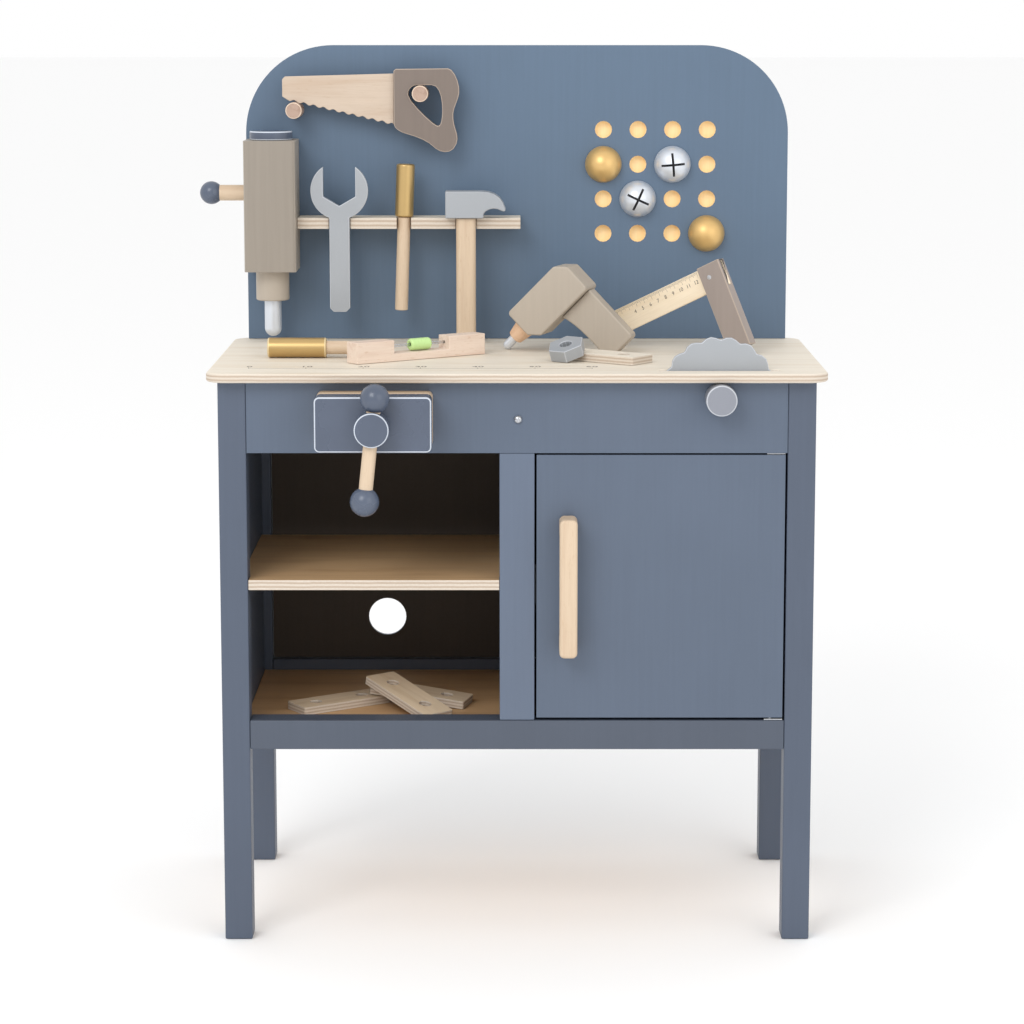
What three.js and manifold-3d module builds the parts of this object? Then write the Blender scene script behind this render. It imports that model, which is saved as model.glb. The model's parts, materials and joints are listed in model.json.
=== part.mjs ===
// Toy workbench: a painted cabinet on legs with a worktop, a pegboard back and wooden toy tools.
// Units are millimetres. While it is built, x runs right from the middle of the bench, y runs
// back from the front of the front legs, and z runs up from the floor. At the end the group is
// moved so that its origin is the middle of its footprint.
import * as THREE from 'three';
import Module from 'manifold-3d';
import { mergeVertices } from 'three/addons/utils/BufferGeometryUtils.js';

const wasm = await Module();
wasm.setup();

// ---- Driving dimensions ----
const GAP = 0.3; // left between pieces that are glued, screwed or resting on each other

const BENCH_WIDTH = 578; // across the outer faces of the legs
const BENCH_DEPTH = 300; // front of the front legs to the back of the rear legs
const LEG = 27; // square section of a leg
const WORKTOP_TOP = 566;
const WORKTOP_THICKNESS = 9;
const WORKTOP_SIDE_OVERHANG = 11;
const WORKTOP_FRONT_OVERHANG = 15;
const WORKTOP_REAR_OVERHANG = 5;
const WORKTOP_CORNER = 20;

const APRON_HEIGHT = 70;
const APRON_THICKNESS = 10;
const FACE_SETBACK = 1; // how far apron, post and door sit behind the faces of the legs
const RAIL_BOTTOM = 193;
const RAIL_HEIGHT = 29;
const REAR_RAIL_DEPTH = 18;
const FLOOR_TOP = 211;
const FLOOR_THICKNESS = 9;
const POST_WIDTH = 34;
const POST_THICKNESS = 18;
const DIVIDER_THICKNESS = 10;
const SIDE_PANEL = 9;
const BACK_PANEL = 5;
const BACK_PANEL_INSET = 12; // from the back of the rear legs to the back of the panel
const CABLE_HOLE_RADIUS = 20;
const CABLE_HOLE_INSET = 123; // from the inner face of the left legs
const CABLE_HOLE_ABOVE_RAIL = 45;
const SHELF_TOP = 362;
const SHELF_THICKNESS = 10;
const SHELF_REAR_GAP = 32; // open strip between the shelf and the back panel

const DOOR_GAP = 2;
const DOOR_TOP_GAP = 1.8;
const DOOR_BOTTOM_GAP = 2.8;
const DOOR_THICKNESS = 12;
const PIVOT_INSET = 12; // hinge axis from the door's right edge
const PIVOT_PIN_RADIUS = 2;
const PIVOT_PIN_LENGTH = 12;
const PIVOT_PLATE = { length: 18, depth: 10, thickness: 1 };
const HANDLE_WIDTH = 17.4;
const HANDLE_LENGTH = 136;
const HANDLE_REACH = 30;
const HANDLE_BAR = 13;
const HANDLE_FOOT = 20;
const HANDLE_INSET = 22; // from the door's left edge
const HANDLE_BELOW_TOP = 59; // from the door's top edge down to the handle
const CATCH = { width: 12, depth: 16, height: 40 };

const BOARD_INSET = 15; // from the side edges of the worktop
const BOARD_HEIGHT = 309;
const BOARD_THICKNESS = 12;
const BOARD_CORNER = 91.5;
const SOCKET_RADIUS = 9;
const SOCKET_DEPTH = 8.5;
const SOCKET_PITCH = 36.4;
const SOCKET_ROWS = 4;
const SOCKET_CORNER = { fromRight: 194.1, fromTop: 197.1 }; // lowest left socket, on the board
const BOLT_HEAD_RADIUS = 19.2;
const BOLT_SHANK_CLEARANCE = 0.4;
const BOLT_SLOT = { width: 2.4, length: 26.5, depth: 2.2 };
const SAW_PEG_RADIUS = 8.5;
const SAW_PEG_REACH = 38;
const SAW_PEG_LEFT = { fromLeft: 53, fromTop: 67 }; // pegs are placed on the board
const SAW_PEG_RIGHT = { fromLeft: 184.3, fromTop: 49.6 };

const RACK_LENGTH = 232.7;
const RACK_HEIGHT = 131; // top of the rack above the worktop
const RACK_THICKNESS = 11.5;
const RACK_REACH = 41;
const NOTCH_CLEARANCE = 0.7;
const NOTCH_DEPTH = 22;
const WRENCH = { along: 44.1, shaft: 21, head: 30, jaw: 33.5, thickness: 9, drop: 98, mouth: 14 };
const DRIVER = { along: 111.1, grip: 9.6, gripLength: 55, shaft: 6.8, drop: 98, lean: 2 };
const HAMMER = {
  along: 175.9,
  handle: 20.5,
  handleDepth: 16,
  drop: 125,
  headDepth: 24,
  headHeight: 28,
};

const PRESS_INSET = 2; // from the left edge of the board
const PRESS_WIDTH = 53.6;
const PRESS_DEPTH = 62.4;
const PRESS_ABOVE_WORKTOP = 76;
const PRESS_HEIGHT = 135.6;
const SPINDLE_RADIUS = 17.3;
const SPINDLE_CLEARANCE = 0.6;
const SPINDLE_DROP = 31.5; // how far the spindle hangs out of the housing
const SPINDLE_TRAVEL = 12; // keeps the cap below the saw's left peg
const PRESS_CAP_RADIUS = 22.2;
const PRESS_CAP_THICKNESS = 9;
const PRESS_BIT_RADIUS = 8.8;
const PRESS_BIT_LENGTH = 38.2;
const LEVER_RADIUS = 8.2;
const LEVER_ABOVE_PRESS = 80.7;
const LEVER_BALL_RADIUS = 12;
const LEVER_REACH = 36; // ball centre from the housing's left face

const VISE_INSET = 125; // from the inner face of the left leg
const VISE_WIDTH = 111.5;
const VISE_HEIGHT = 53;
const VISE_BELOW_WORKTOP = 9;
const JAW_THICKNESS = 25;
const JAW_CORNER = 5;
const SCREW_BELOW_VISE_TOP = 28;
const SCREW_RADIUS = 6;
const SCREW_CLEARANCE = 0.5;
const HUB_RADIUS = 16.5;
const HUB_LENGTH = 28;
const BAR_RADIUS = 6.7;
const BAR_BALL_RADIUS = 14;
const BAR_LENGTH = 99; // between the centres of its balls
const BAR_TILT = 6;
const BAR_OFFSET = 15.8; // bar's axis from the face of the moving jaw
const GUIDE_RADIUS = 4;
const GUIDE_SPREAD = 38;
const GUIDE_LENGTH = 62;

const SAW_DISC_INSET = 66; // from the inner face of the right leg
const SAW_DISC_BELOW_WORKTOP = 16;
const SAW_DISC_RADIUS = 58;
const SAW_DISC_TEETH = 18;
const SAW_DISC_TOOTH = 3.6;
const SAW_DISC_THICKNESS = 4.5;
const SAW_DISC_BEHIND_APRON = 3;
const SAW_SLOT_CLEARANCE = 2;
const SAW_AXLE_RADIUS = 5;
const SAW_AXLE_CLEARANCE = 0.6;
const SAW_KNOB_RADIUS = 15;
const SAW_KNOB_LENGTH = 25;
const APRON_SCREW = { x: 1, aboveEdge: 33, radius: 4, height: 2.5 };

const HAND_SAW = {
  handle: 15,
  blade: 5,
  behindPegTip: 7,
  toothPitch: 10.2,
  toothWave: 1.1,
  slope: 0.231,
};
const LOOSE_DRIVER = {
  fromEdge: 50,
  beforeBoard: 174,
  grip: 10,
  gripLength: 59,
  shaft: 6.75,
  shaftLength: 64,
};
const LEVEL = {
  x: -157,
  beforeBoard: 234,
  turn: 36,
  length: 154,
  width: 19,
  height: 21,
  end: 44,
  base: 7.8,
};
const LEVEL_ROD_RADIUS = 1.2;
const LEVEL_BEAD = { radius: 6, length: 24, bore: 1.6, offset: 3 };
const DRILL = {
  x: -9.3,
  beforeBoard: 101,
  turn: -18,
  rise: 45,
  length: 80,
  width: 41,
  depth: 38,
  chamfer: 10.5,
  corner: 2.5,
};
const DRILL_GRIP = { width: 36, length: 65.2, depth: 18, chamfer: 9.5, corner: 2.5, setback: 2 };
const DRILL_CHUCK = { rear: 11, front: 7.6, length: 17, bit: 4.75, bitLength: 14.9 };
const SQUARE = { fromEdge: 85.1, beforeBoard: 141.3, turn: -34, rise: 25, depth: 12.5 };
const SQUARE_STOCK = { width: 27, length: 92.8, lip: 1.5 };
const SQUARE_RULE = { width: 26, length: 140, thickness: 4 };
const NUT = { radius: 19, thickness: 12, hole: 6.5, lean: 22, along: -24 };
const STRIP = { length: 100, width: 36, thickness: 8, hole: 6.6, spread: 27 };
const WORKTOP_STRIP = { x: 84, beforeBoard: 198, turn: -37 };
// Strips on the cabinet floor, from the left legs and from the back of the front rail.
const FLOOR_STRIP_LEFT = { inset: 81, behindRail: 80, turn: 34, pitch: 0 };
const FLOOR_STRIP_BACK = { inset: 164, behindRail: 93, turn: -15, pitch: 6 };
const FLOOR_STRIP_TOP = { inset: 152, behindRail: 57, turn: -50, pitch: 13 };

// ---- Derived places ----
const LEG_OUTER = BENCH_WIDTH / 2;
const LEG_INNER = LEG_OUTER - LEG;
const REAR_LEG_FRONT = BENCH_DEPTH - LEG;
const WORKTOP_UNDER = WORKTOP_TOP - WORKTOP_THICKNESS;
const WORKTOP_HALF = LEG_OUTER + WORKTOP_SIDE_OVERHANG;
const WORKTOP_BACK = BENCH_DEPTH + WORKTOP_REAR_OVERHANG;
const UNDER_TOP = WORKTOP_UNDER - GAP;
const APRON_BOTTOM = WORKTOP_UNDER - APRON_HEIGHT;
const APRON_BACK = FACE_SETBACK + APRON_THICKNESS;
const RAIL_TOP = RAIL_BOTTOM + RAIL_HEIGHT;
const CABLE_HOLE_X = CABLE_HOLE_INSET - LEG_INNER;
const CABLE_HOLE_Z = RAIL_TOP + CABLE_HOLE_ABOVE_RAIL;
const SIDE_CENTRE = LEG_OUTER - LEG / 2;
const SIDE_INNER = SIDE_CENTRE - SIDE_PANEL / 2;
const PANEL_BACK = BENCH_DEPTH - BACK_PANEL_INSET;
const PANEL_FRONT = PANEL_BACK - BACK_PANEL;
const POST_HALF = POST_WIDTH / 2;
const POST_BACK = FACE_SETBACK + POST_THICKNESS;
const DOOR_LEFT = POST_HALF + DOOR_GAP;
const DOOR_RIGHT = LEG_INNER - DOOR_GAP;
const DOOR_BOTTOM = RAIL_TOP + DOOR_BOTTOM_GAP;
const DOOR_TOP = APRON_BOTTOM - DOOR_TOP_GAP;
const DOOR_FRONT = FACE_SETBACK;
const DOOR_BACK = DOOR_FRONT + DOOR_THICKNESS;
const PIVOT_X = DOOR_RIGHT - PIVOT_INSET;
const PIVOT_Y = DOOR_FRONT + DOOR_THICKNESS / 2;
const BOARD_HALF = WORKTOP_HALF - BOARD_INSET;
const BOARD_BACK = WORKTOP_BACK;
const BOARD_FRONT = BOARD_BACK - BOARD_THICKNESS;
const BOARD_BOTTOM = WORKTOP_TOP + GAP;
const BOARD_TOP = WORKTOP_TOP + BOARD_HEIGHT;
const ON_BOARD = BOARD_FRONT - GAP;
const ON_WORKTOP = WORKTOP_TOP + GAP;
const PRESS_X = PRESS_INSET + PRESS_WIDTH / 2 - BOARD_HALF;
const RACK_LEFT = PRESS_X + PRESS_WIDTH / 2 + GAP;
const RACK_RIGHT = RACK_LEFT + RACK_LENGTH;
const RACK_TOP = WORKTOP_TOP + RACK_HEIGHT;
const RACK_FRONT = ON_BOARD - RACK_REACH;
const ON_RACK = RACK_TOP + GAP;
const WRENCH_X = RACK_LEFT + WRENCH.along;
const DRIVER_X = RACK_LEFT + DRIVER.along;
const HAMMER_X = RACK_LEFT + HAMMER.along;
const PEG_LEFT = { x: SAW_PEG_LEFT.fromLeft - BOARD_HALF, z: BOARD_TOP - SAW_PEG_LEFT.fromTop };
const PEG_RIGHT = { x: SAW_PEG_RIGHT.fromLeft - BOARD_HALF, z: BOARD_TOP - SAW_PEG_RIGHT.fromTop };
const PRESS_Y = ON_BOARD - PRESS_DEPTH / 2;
const PRESS_BOTTOM = WORKTOP_TOP + PRESS_ABOVE_WORKTOP;
const PRESS_TOP = PRESS_BOTTOM + PRESS_HEIGHT;
const LEVER_Z = PRESS_BOTTOM + LEVER_ABOVE_PRESS;
const SPINDLE_BOTTOM = PRESS_BOTTOM - SPINDLE_DROP;
const LEVER_END_X = PRESS_X - PRESS_WIDTH / 2 - LEVER_REACH;
const VISE_X = VISE_INSET - LEG_INNER;
const VISE_TOP = WORKTOP_UNDER - VISE_BELOW_WORKTOP;
const SCREW_Z = VISE_TOP - SCREW_BELOW_VISE_TOP;
const FIXED_JAW_BACK = FACE_SETBACK - GAP;
const FIXED_JAW_FRONT = FIXED_JAW_BACK - JAW_THICKNESS;
const MOVING_JAW_BACK = FIXED_JAW_FRONT - GAP;
const MOVING_JAW_FRONT = MOVING_JAW_BACK - JAW_THICKNESS;
const HUB_BACK = MOVING_JAW_FRONT - GAP;
const HUB_FRONT = HUB_BACK - HUB_LENGTH;
const SCREW_END = APRON_BACK + 18;
const BAR_Y = MOVING_JAW_FRONT - BAR_OFFSET;
const SAW_DISC_X = LEG_INNER - SAW_DISC_INSET;
const SAW_DISC_Z = WORKTOP_UNDER - SAW_DISC_BELOW_WORKTOP;
const SAW_DISC_FRONT = APRON_BACK + SAW_DISC_BEHIND_APRON;
const SAW_DISC_BACK = SAW_DISC_FRONT + SAW_DISC_THICKNESS;
const HAND_SAW_Y = ON_BOARD - SAW_PEG_REACH + HAND_SAW.behindPegTip + HAND_SAW.handle / 2;

// ---- Materials ----
function finish(color, roughness, metalness = 0) {
  return new THREE.MeshStandardMaterial({ color, roughness, metalness });
}

const bluePaint = finish(0x6d7d93, 0.55);
const paleBluePaint = finish(0x66788f, 0.5);
const plywood = finish(0xe0cdb0, 0.6);
const beech = finish(0xe2c9a8, 0.55);
const beigePaint = finish(0xb5a898, 0.55);
const taupePaint = finish(0x94877c, 0.55);
const silverPaint = finish(0xb9bcc2, 0.4, 0.3);
const goldPaint = finish(0xb89e68, 0.4, 0.4);
const greenPaint = finish(0xc4e696, 0.5);
const steel = finish(0xc4c6ca, 0.3, 0.9);

// ---- Geometry helpers ----
function block(x0, x1, y0, y1, z0, z1) {
  const geometry = new THREE.BoxGeometry(x1 - x0, y1 - y0, z1 - z0);
  return geometry.translate((x0 + x1) / 2, (y0 + y1) / 2, (z0 + z1) / 2);
}

// A shape drawn in x and y, raised from z0 to z1.
function raised(shape, z0, z1, curveSegments = 6) {
  const options = { depth: z1 - z0, bevelEnabled: false, curveSegments };
  return new THREE.ExtrudeGeometry(shape, options).translate(0, 0, z0);
}

// A shape drawn in x and z as seen from the front, filled from y0 back to y1.
function upright(shape, y0, y1, curveSegments = 6) {
  return raised(shape, 0, y1 - y0, curveSegments).rotateX(Math.PI / 2).translate(0, y1, 0);
}

function roundedRectangle(x0, x1, y0, y1, radius) {
  const shape = new THREE.Shape();
  shape.moveTo(x0 + radius, y0);
  shape.absarc(x1 - radius, y0 + radius, radius, -Math.PI / 2, 0);
  shape.absarc(x1 - radius, y1 - radius, radius, 0, Math.PI / 2);
  shape.absarc(x0 + radius, y1 - radius, radius, Math.PI / 2, Math.PI);
  shape.absarc(x0 + radius, y0 + radius, radius, Math.PI, 1.5 * Math.PI);
  return shape;
}

function chamferedRectangle(x0, x1, y0, y1, chamfer, corner) {
  const shape = new THREE.Shape();
  shape.moveTo(x0 + chamfer, y0);
  shape.lineTo(x1 - corner, y0);
  shape.lineTo(x1, y0 + corner);
  shape.lineTo(x1, y1 - chamfer);
  shape.lineTo(x1 - chamfer, y1);
  shape.lineTo(x0 + corner, y1);
  shape.lineTo(x0, y1 - corner);
  shape.lineTo(x0, y0 + chamfer);
  return shape;
}

// A round bar between two points, tapered when the two radii differ.
function rod(from, to, radius, endRadius = radius, sides = 24) {
  const start = new THREE.Vector3(...from);
  const run = new THREE.Vector3(...to).sub(start);
  const geometry = new THREE.CylinderGeometry(endRadius, radius, run.length(), sides);
  geometry.translate(0, run.length() / 2, 0);
  const upToRun = new THREE.Quaternion();
  upToRun.setFromUnitVectors(new THREE.Vector3(0, 1, 0), run.clone().normalize());
  return geometry.applyQuaternion(upToRun).translate(...from);
}

function ball(centre, radius, sides = 20) {
  return new THREE.SphereGeometry(radius, sides, sides / 2).translate(...centre);
}

// A round pin along +z with a domed tip.
function domedPin(radius, length, sides = 20) {
  const profile = [new THREE.Vector2(0, 0), new THREE.Vector2(radius, 0)];
  const steps = 4;
  for (let i = 0; i <= steps; i += 1) {
    const angle = (i / steps) * (Math.PI / 2);
    const height = length - radius + radius * Math.sin(angle);
    profile.push(new THREE.Vector2(i === steps ? 0 : radius * Math.cos(angle), height));
  }
  return new THREE.LatheGeometry(profile, sides).rotateX(Math.PI / 2);
}

function toSolid(geometry) {
  const bare = geometry.clone();
  bare.deleteAttribute('normal');
  bare.deleteAttribute('uv');
  const merged = mergeVertices(bare, 1e-4);
  const vertProperties = new Float32Array(merged.attributes.position.array);
  const triVerts = new Uint32Array(merged.index.array);
  return new wasm.Manifold(new wasm.Mesh({ numProp: 3, vertProperties, triVerts }));
}

function fromSolid(solid) {
  const mesh = solid.getMesh();
  const geometry = new THREE.BufferGeometry();
  geometry.setAttribute('position', new THREE.BufferAttribute(mesh.vertProperties, 3));
  geometry.setIndex(new THREE.BufferAttribute(mesh.triVerts, 1));
  return geometry;
}

function cut(body, ...tools) {
  let solid = toSolid(body);
  for (const tool of tools) solid = solid.subtract(toSolid(tool));
  return fromSolid(solid);
}

function join(...pieces) {
  let solid = toSolid(pieces[0]);
  for (const piece of pieces.slice(1)) solid = solid.add(toSolid(piece));
  return fromSolid(solid);
}

const bench = new THREE.Group();

function add(name, geometry, material, parent = bench) {
  const mesh = new THREE.Mesh(geometry, material);
  mesh.name = name;
  parent.add(mesh);
  return mesh;
}

// ---- Frame of the bench ----
function addLegs() {
  for (const [side, x] of [['left', -LEG_OUTER], ['right', LEG_INNER]]) {
    add(`front_leg_${side}`, block(x, x + LEG, 0, LEG, 0, UNDER_TOP), bluePaint);
    add(`rear_leg_${side}`, block(x, x + LEG, REAR_LEG_FRONT, BENCH_DEPTH, 0, UNDER_TOP), bluePaint);
  }
}

function viseRodHoles(y0, y1) {
  const holes = [rod([VISE_X, y0, SCREW_Z], [VISE_X, y1, SCREW_Z], SCREW_RADIUS + SCREW_CLEARANCE)];
  for (const side of [-1, 1]) {
    const x = VISE_X + side * GUIDE_SPREAD;
    holes.push(rod([x, y0, SCREW_Z], [x, y1, SCREW_Z], GUIDE_RADIUS + SCREW_CLEARANCE, undefined, 16));
  }
  return holes;
}

function addRails() {
  const half = LEG_INNER - GAP;
  const axleHole = rod(
    [SAW_DISC_X, -1, SAW_DISC_Z],
    [SAW_DISC_X, APRON_BACK + 1, SAW_DISC_Z],
    SAW_AXLE_RADIUS + SAW_AXLE_CLEARANCE
  );
  const apron = block(-half, half, FACE_SETBACK, APRON_BACK, APRON_BOTTOM, UNDER_TOP);
  add('apron', cut(apron, axleHole, ...viseRodHoles(-1, APRON_BACK + 1)), bluePaint);
  add('bottom_rail_front', block(-half, half, GAP, LEG, RAIL_BOTTOM, RAIL_TOP), bluePaint);
  const rearRailBack = REAR_LEG_FRONT + REAR_RAIL_DEPTH;
  const rearRail = block(-half, half, REAR_LEG_FRONT, rearRailBack, RAIL_BOTTOM, RAIL_TOP);
  add('bottom_rail_rear', rearRail, bluePaint);
}

function addPanels() {
  const sideFront = LEG + GAP;
  const sideBack = REAR_LEG_FRONT - GAP;
  for (const [side, x] of [['left', -SIDE_CENTRE], ['right', SIDE_CENTRE]]) {
    const x0 = x - SIDE_PANEL / 2;
    const panel = block(x0, x0 + SIDE_PANEL, sideFront, sideBack, RAIL_BOTTOM, UNDER_TOP);
    add(`side_panel_${side}`, panel, bluePaint);
  }
  const backHalf = LEG_INNER - GAP;
  const back = block(-backHalf, backHalf, PANEL_FRONT, PANEL_BACK, RAIL_TOP + GAP, UNDER_TOP);
  const hole = rod(
    [CABLE_HOLE_X, PANEL_FRONT - 1, CABLE_HOLE_Z],
    [CABLE_HOLE_X, PANEL_BACK + 1, CABLE_HOLE_Z],
    CABLE_HOLE_RADIUS,
    CABLE_HOLE_RADIUS,
    32
  );
  add('back_panel', cut(back, hole), bluePaint);

  const floorHalf = SIDE_INNER - GAP;
  const floorBottom = FLOOR_TOP - FLOOR_THICKNESS;
  add('floor_panel', block(-floorHalf, floorHalf, LEG + GAP, sideBack, floorBottom, FLOOR_TOP), plywood);
}

function addDivider() {
  const top = APRON_BOTTOM - GAP;
  const post = block(-POST_HALF, POST_HALF, FACE_SETBACK, POST_BACK, RAIL_TOP + GAP, top);
  add('divider_post', post, bluePaint);
  // The panel stands on the floor between the rails and laps over both of them.
  const half = DIVIDER_THICKNESS / 2;
  const betweenRails = block(-half, half, LEG + GAP, REAR_LEG_FRONT - GAP, FLOOR_TOP + GAP, UNDER_TOP);
  const overRails = block(-half, half, POST_BACK + GAP, PANEL_FRONT - GAP, RAIL_TOP + GAP, UNDER_TOP);
  add('divider_panel', join(betweenRails, overRails), bluePaint);
}

// The shelf is notched round the leg and the post at its front corners.
function addShelf() {
  const frontLeft = -LEG_INNER + GAP;
  const left = -SIDE_INNER + GAP;
  const frontRight = -POST_HALF - GAP;
  const right = -DIVIDER_THICKNESS / 2 - GAP;
  const back = PANEL_FRONT - SHELF_REAR_GAP;
  const outline = new THREE.Shape();
  outline.moveTo(frontLeft, FACE_SETBACK);
  outline.lineTo(frontRight, FACE_SETBACK);
  outline.lineTo(frontRight, POST_BACK + GAP);
  outline.lineTo(right, POST_BACK + GAP);
  outline.lineTo(right, back);
  outline.lineTo(left, back);
  outline.lineTo(left, LEG + GAP);
  outline.lineTo(frontLeft, LEG + GAP);
  add('shelf', raised(outline, SHELF_TOP - SHELF_THICKNESS, SHELF_TOP), plywood);
}

// ---- Door ----
function pivotAssembly(plateBottom, pinDirection) {
  const { length, depth, thickness } = PIVOT_PLATE;
  const x1 = DOOR_RIGHT;
  const y0 = PIVOT_Y - depth / 2;
  const plate = block(x1 - length, x1, y0, y0 + depth, plateBottom, plateBottom + thickness);
  const middle = plateBottom + thickness / 2;
  const tip = middle + pinDirection * (PIVOT_PIN_LENGTH + thickness / 2);
  return join(plate, rod([PIVOT_X, PIVOT_Y, middle], [PIVOT_X, PIVOT_Y, tip], PIVOT_PIN_RADIUS));
}

function addDoor() {
  const boreRadius = PIVOT_PIN_RADIUS + GAP;
  const boreDepth = PIVOT_PIN_LENGTH + GAP;
  const door = block(DOOR_LEFT, DOOR_RIGHT, DOOR_FRONT, DOOR_BACK, DOOR_BOTTOM, DOOR_TOP);
  const bores = [[DOOR_BOTTOM - 1, DOOR_BOTTOM + boreDepth], [DOOR_TOP - boreDepth, DOOR_TOP + 1]];
  const cuts = bores.map(([z0, z1]) => rod([PIVOT_X, PIVOT_Y, z0], [PIVOT_X, PIVOT_Y, z1], boreRadius));
  add('door', cut(door, ...cuts), bluePaint);
  const upperPlate = APRON_BOTTOM - GAP - PIVOT_PLATE.thickness;
  add('door_pivot_upper', pivotAssembly(upperPlate, -1), steel);
  add('door_pivot_lower', pivotAssembly(RAIL_TOP + GAP, 1), steel);
}

// A bar milled as a low bridge: two feet on the door and a finger gap between them.
function addDoorHandle() {
  const x0 = DOOR_LEFT + HANDLE_INSET;
  const z1 = DOOR_TOP - HANDLE_BELOW_TOP;
  const z0 = z1 - HANDLE_LENGTH;
  const back = DOOR_FRONT - GAP;
  const face = roundedRectangle(x0, x0 + HANDLE_WIDTH, z0, z1, 5);
  const bar = upright(face, back - HANDLE_REACH, back, 3);
  const barBack = back - HANDLE_REACH + HANDLE_BAR;
  const gapZ0 = z0 + HANDLE_FOOT;
  const gapZ1 = z1 - HANDLE_FOOT;
  const fingerGap = block(x0 - 1, x0 + HANDLE_WIDTH + 1, barBack, back + 1, gapZ0, gapZ1);
  add('door_handle', cut(bar, fingerGap), beech);
}

function addDoorCatch() {
  const x0 = POST_HALF + GAP;
  const y0 = DOOR_BACK + 0.5;
  const z0 = (DOOR_BOTTOM + DOOR_TOP - CATCH.height) / 2;
  const catchBlock = block(x0, x0 + CATCH.width, y0, y0 + CATCH.depth, z0, z0 + CATCH.height);
  add('door_catch', catchBlock, steel);
}

// ---- Worktop and its circular saw ----
function addWorktop() {
  const outline = roundedRectangle(
    -WORKTOP_HALF,
    WORKTOP_HALF,
    -WORKTOP_FRONT_OVERHANG,
    WORKTOP_BACK,
    WORKTOP_CORNER
  );
  const discHalf = Math.sqrt(SAW_DISC_RADIUS ** 2 - (WORKTOP_UNDER - SAW_DISC_Z) ** 2);
  const slotHalf = discHalf + SAW_SLOT_CLEARANCE;
  const slot = block(
    SAW_DISC_X - slotHalf,
    SAW_DISC_X + slotHalf,
    SAW_DISC_FRONT - SAW_SLOT_CLEARANCE,
    SAW_DISC_BACK + SAW_SLOT_CLEARANCE,
    WORKTOP_UNDER - 1,
    WORKTOP_TOP + 1
  );
  add('worktop', cut(raised(outline, WORKTOP_UNDER, WORKTOP_TOP), slot), plywood);
}

// Each tooth rises along a slant and drops back round its tip.
function addCircularSaw() {
  const outline = new THREE.Shape();
  const stepsPerTooth = 4;
  const rises = [0, 0.55, 0.95, 0.7];
  for (let i = 0; i < SAW_DISC_TEETH * stepsPerTooth; i += 1) {
    const angle = (i / (SAW_DISC_TEETH * stepsPerTooth)) * 2 * Math.PI + 0.15;
    const radius = SAW_DISC_RADIUS - SAW_DISC_TOOTH * (1 - rises[i % stepsPerTooth]);
    const point = [SAW_DISC_X + radius * Math.cos(angle), SAW_DISC_Z + radius * Math.sin(angle)];
    if (i === 0) outline.moveTo(...point);
    else outline.lineTo(...point);
  }
  const bore = new THREE.Path();
  bore.absarc(SAW_DISC_X, SAW_DISC_Z, SAW_AXLE_RADIUS + GAP, 0, 2 * Math.PI, true);
  outline.holes.push(bore);
  add('circular_saw_blade', upright(outline, SAW_DISC_FRONT, SAW_DISC_BACK), silverPaint);
  const knobBack = FACE_SETBACK - GAP;
  const at = (y) => [SAW_DISC_X, y, SAW_DISC_Z];
  const knob = rod(at(knobBack - SAW_KNOB_LENGTH), at(knobBack), SAW_KNOB_RADIUS, undefined, 28);
  const axle = rod(at(knobBack - 1), at(SAW_DISC_BACK + 3), SAW_AXLE_RADIUS);
  add('circular_saw_knob', join(knob, axle), silverPaint);
}

function addApronScrew() {
  const { x, aboveEdge, radius, height } = APRON_SCREW;
  const head = domedPin(radius, radius + 0.2).scale(1, 1, height / radius);
  head.rotateX(Math.PI / 2).translate(x, FACE_SETBACK - GAP, APRON_BOTTOM + aboveEdge);
  add('apron_screw', head, steel);
}

// ---- Backboard with its sockets, bolts and pegs ----
function addBackboard() {
  const half = BOARD_HALF;
  const outline = new THREE.Shape();
  outline.moveTo(-half, BOARD_BOTTOM);
  outline.lineTo(half, BOARD_BOTTOM);
  outline.absarc(half - BOARD_CORNER, BOARD_TOP - BOARD_CORNER, BOARD_CORNER, 0, Math.PI / 2);
  outline.absarc(BOARD_CORNER - half, BOARD_TOP - BOARD_CORNER, BOARD_CORNER, Math.PI / 2, Math.PI);
  const sockets = [];
  for (let row = 0; row < SOCKET_ROWS; row += 1) {
    for (let column = 0; column < SOCKET_ROWS; column += 1) {
      const [x, z] = socketCentre(column, row);
      const bottom = [x, BOARD_FRONT + SOCKET_DEPTH, z];
      sockets.push(rod([x, BOARD_FRONT - 1, z], bottom, SOCKET_RADIUS, undefined, 16));
    }
  }
  add('backboard', cut(upright(outline, BOARD_FRONT, BOARD_BACK, 12), ...sockets), bluePaint);
}

function socketCentre(column, row) {
  const x = BOARD_HALF - SOCKET_CORNER.fromRight + column * SOCKET_PITCH;
  const z = BOARD_TOP - SOCKET_CORNER.fromTop + row * SOCKET_PITCH;
  return [x, z];
}

// A domed head on a short peg. The slotted ones have a cross cut for the toy screwdriver.
function addBolt(name, column, row, material, slotTurn) {
  const [x, z] = socketCentre(column, row);
  const shankRadius = SOCKET_RADIUS - BOLT_SHANK_CLEARANCE;
  const shankLength = SOCKET_DEPTH - 0.5;
  const head = domedPin(BOLT_HEAD_RADIUS, BOLT_HEAD_RADIUS + 0.4, 24);
  const shank = rod([0, 0, -shankLength - GAP], [0, 0, 1], shankRadius, undefined, 16);
  let bolt = join(head, shank);
  if (slotTurn !== undefined) {
    const { width, length, depth } = BOLT_SLOT;
    const slots = [0, Math.PI / 2].map((turn) => {
      const bottom = BOLT_HEAD_RADIUS - depth;
      const slot = block(-length / 2, length / 2, -width / 2, width / 2, 0, BOLT_HEAD_RADIUS);
      // The floor of the slot follows the dome.
      const core = ball([0, 0, 0], bottom, 24);
      return cut(slot, core).rotateZ(turn + THREE.MathUtils.degToRad(slotTurn));
    });
    bolt = cut(bolt, ...slots);
  }
  bolt.rotateX(Math.PI / 2).translate(x, ON_BOARD, z);
  add(name, bolt, material);
}

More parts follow.
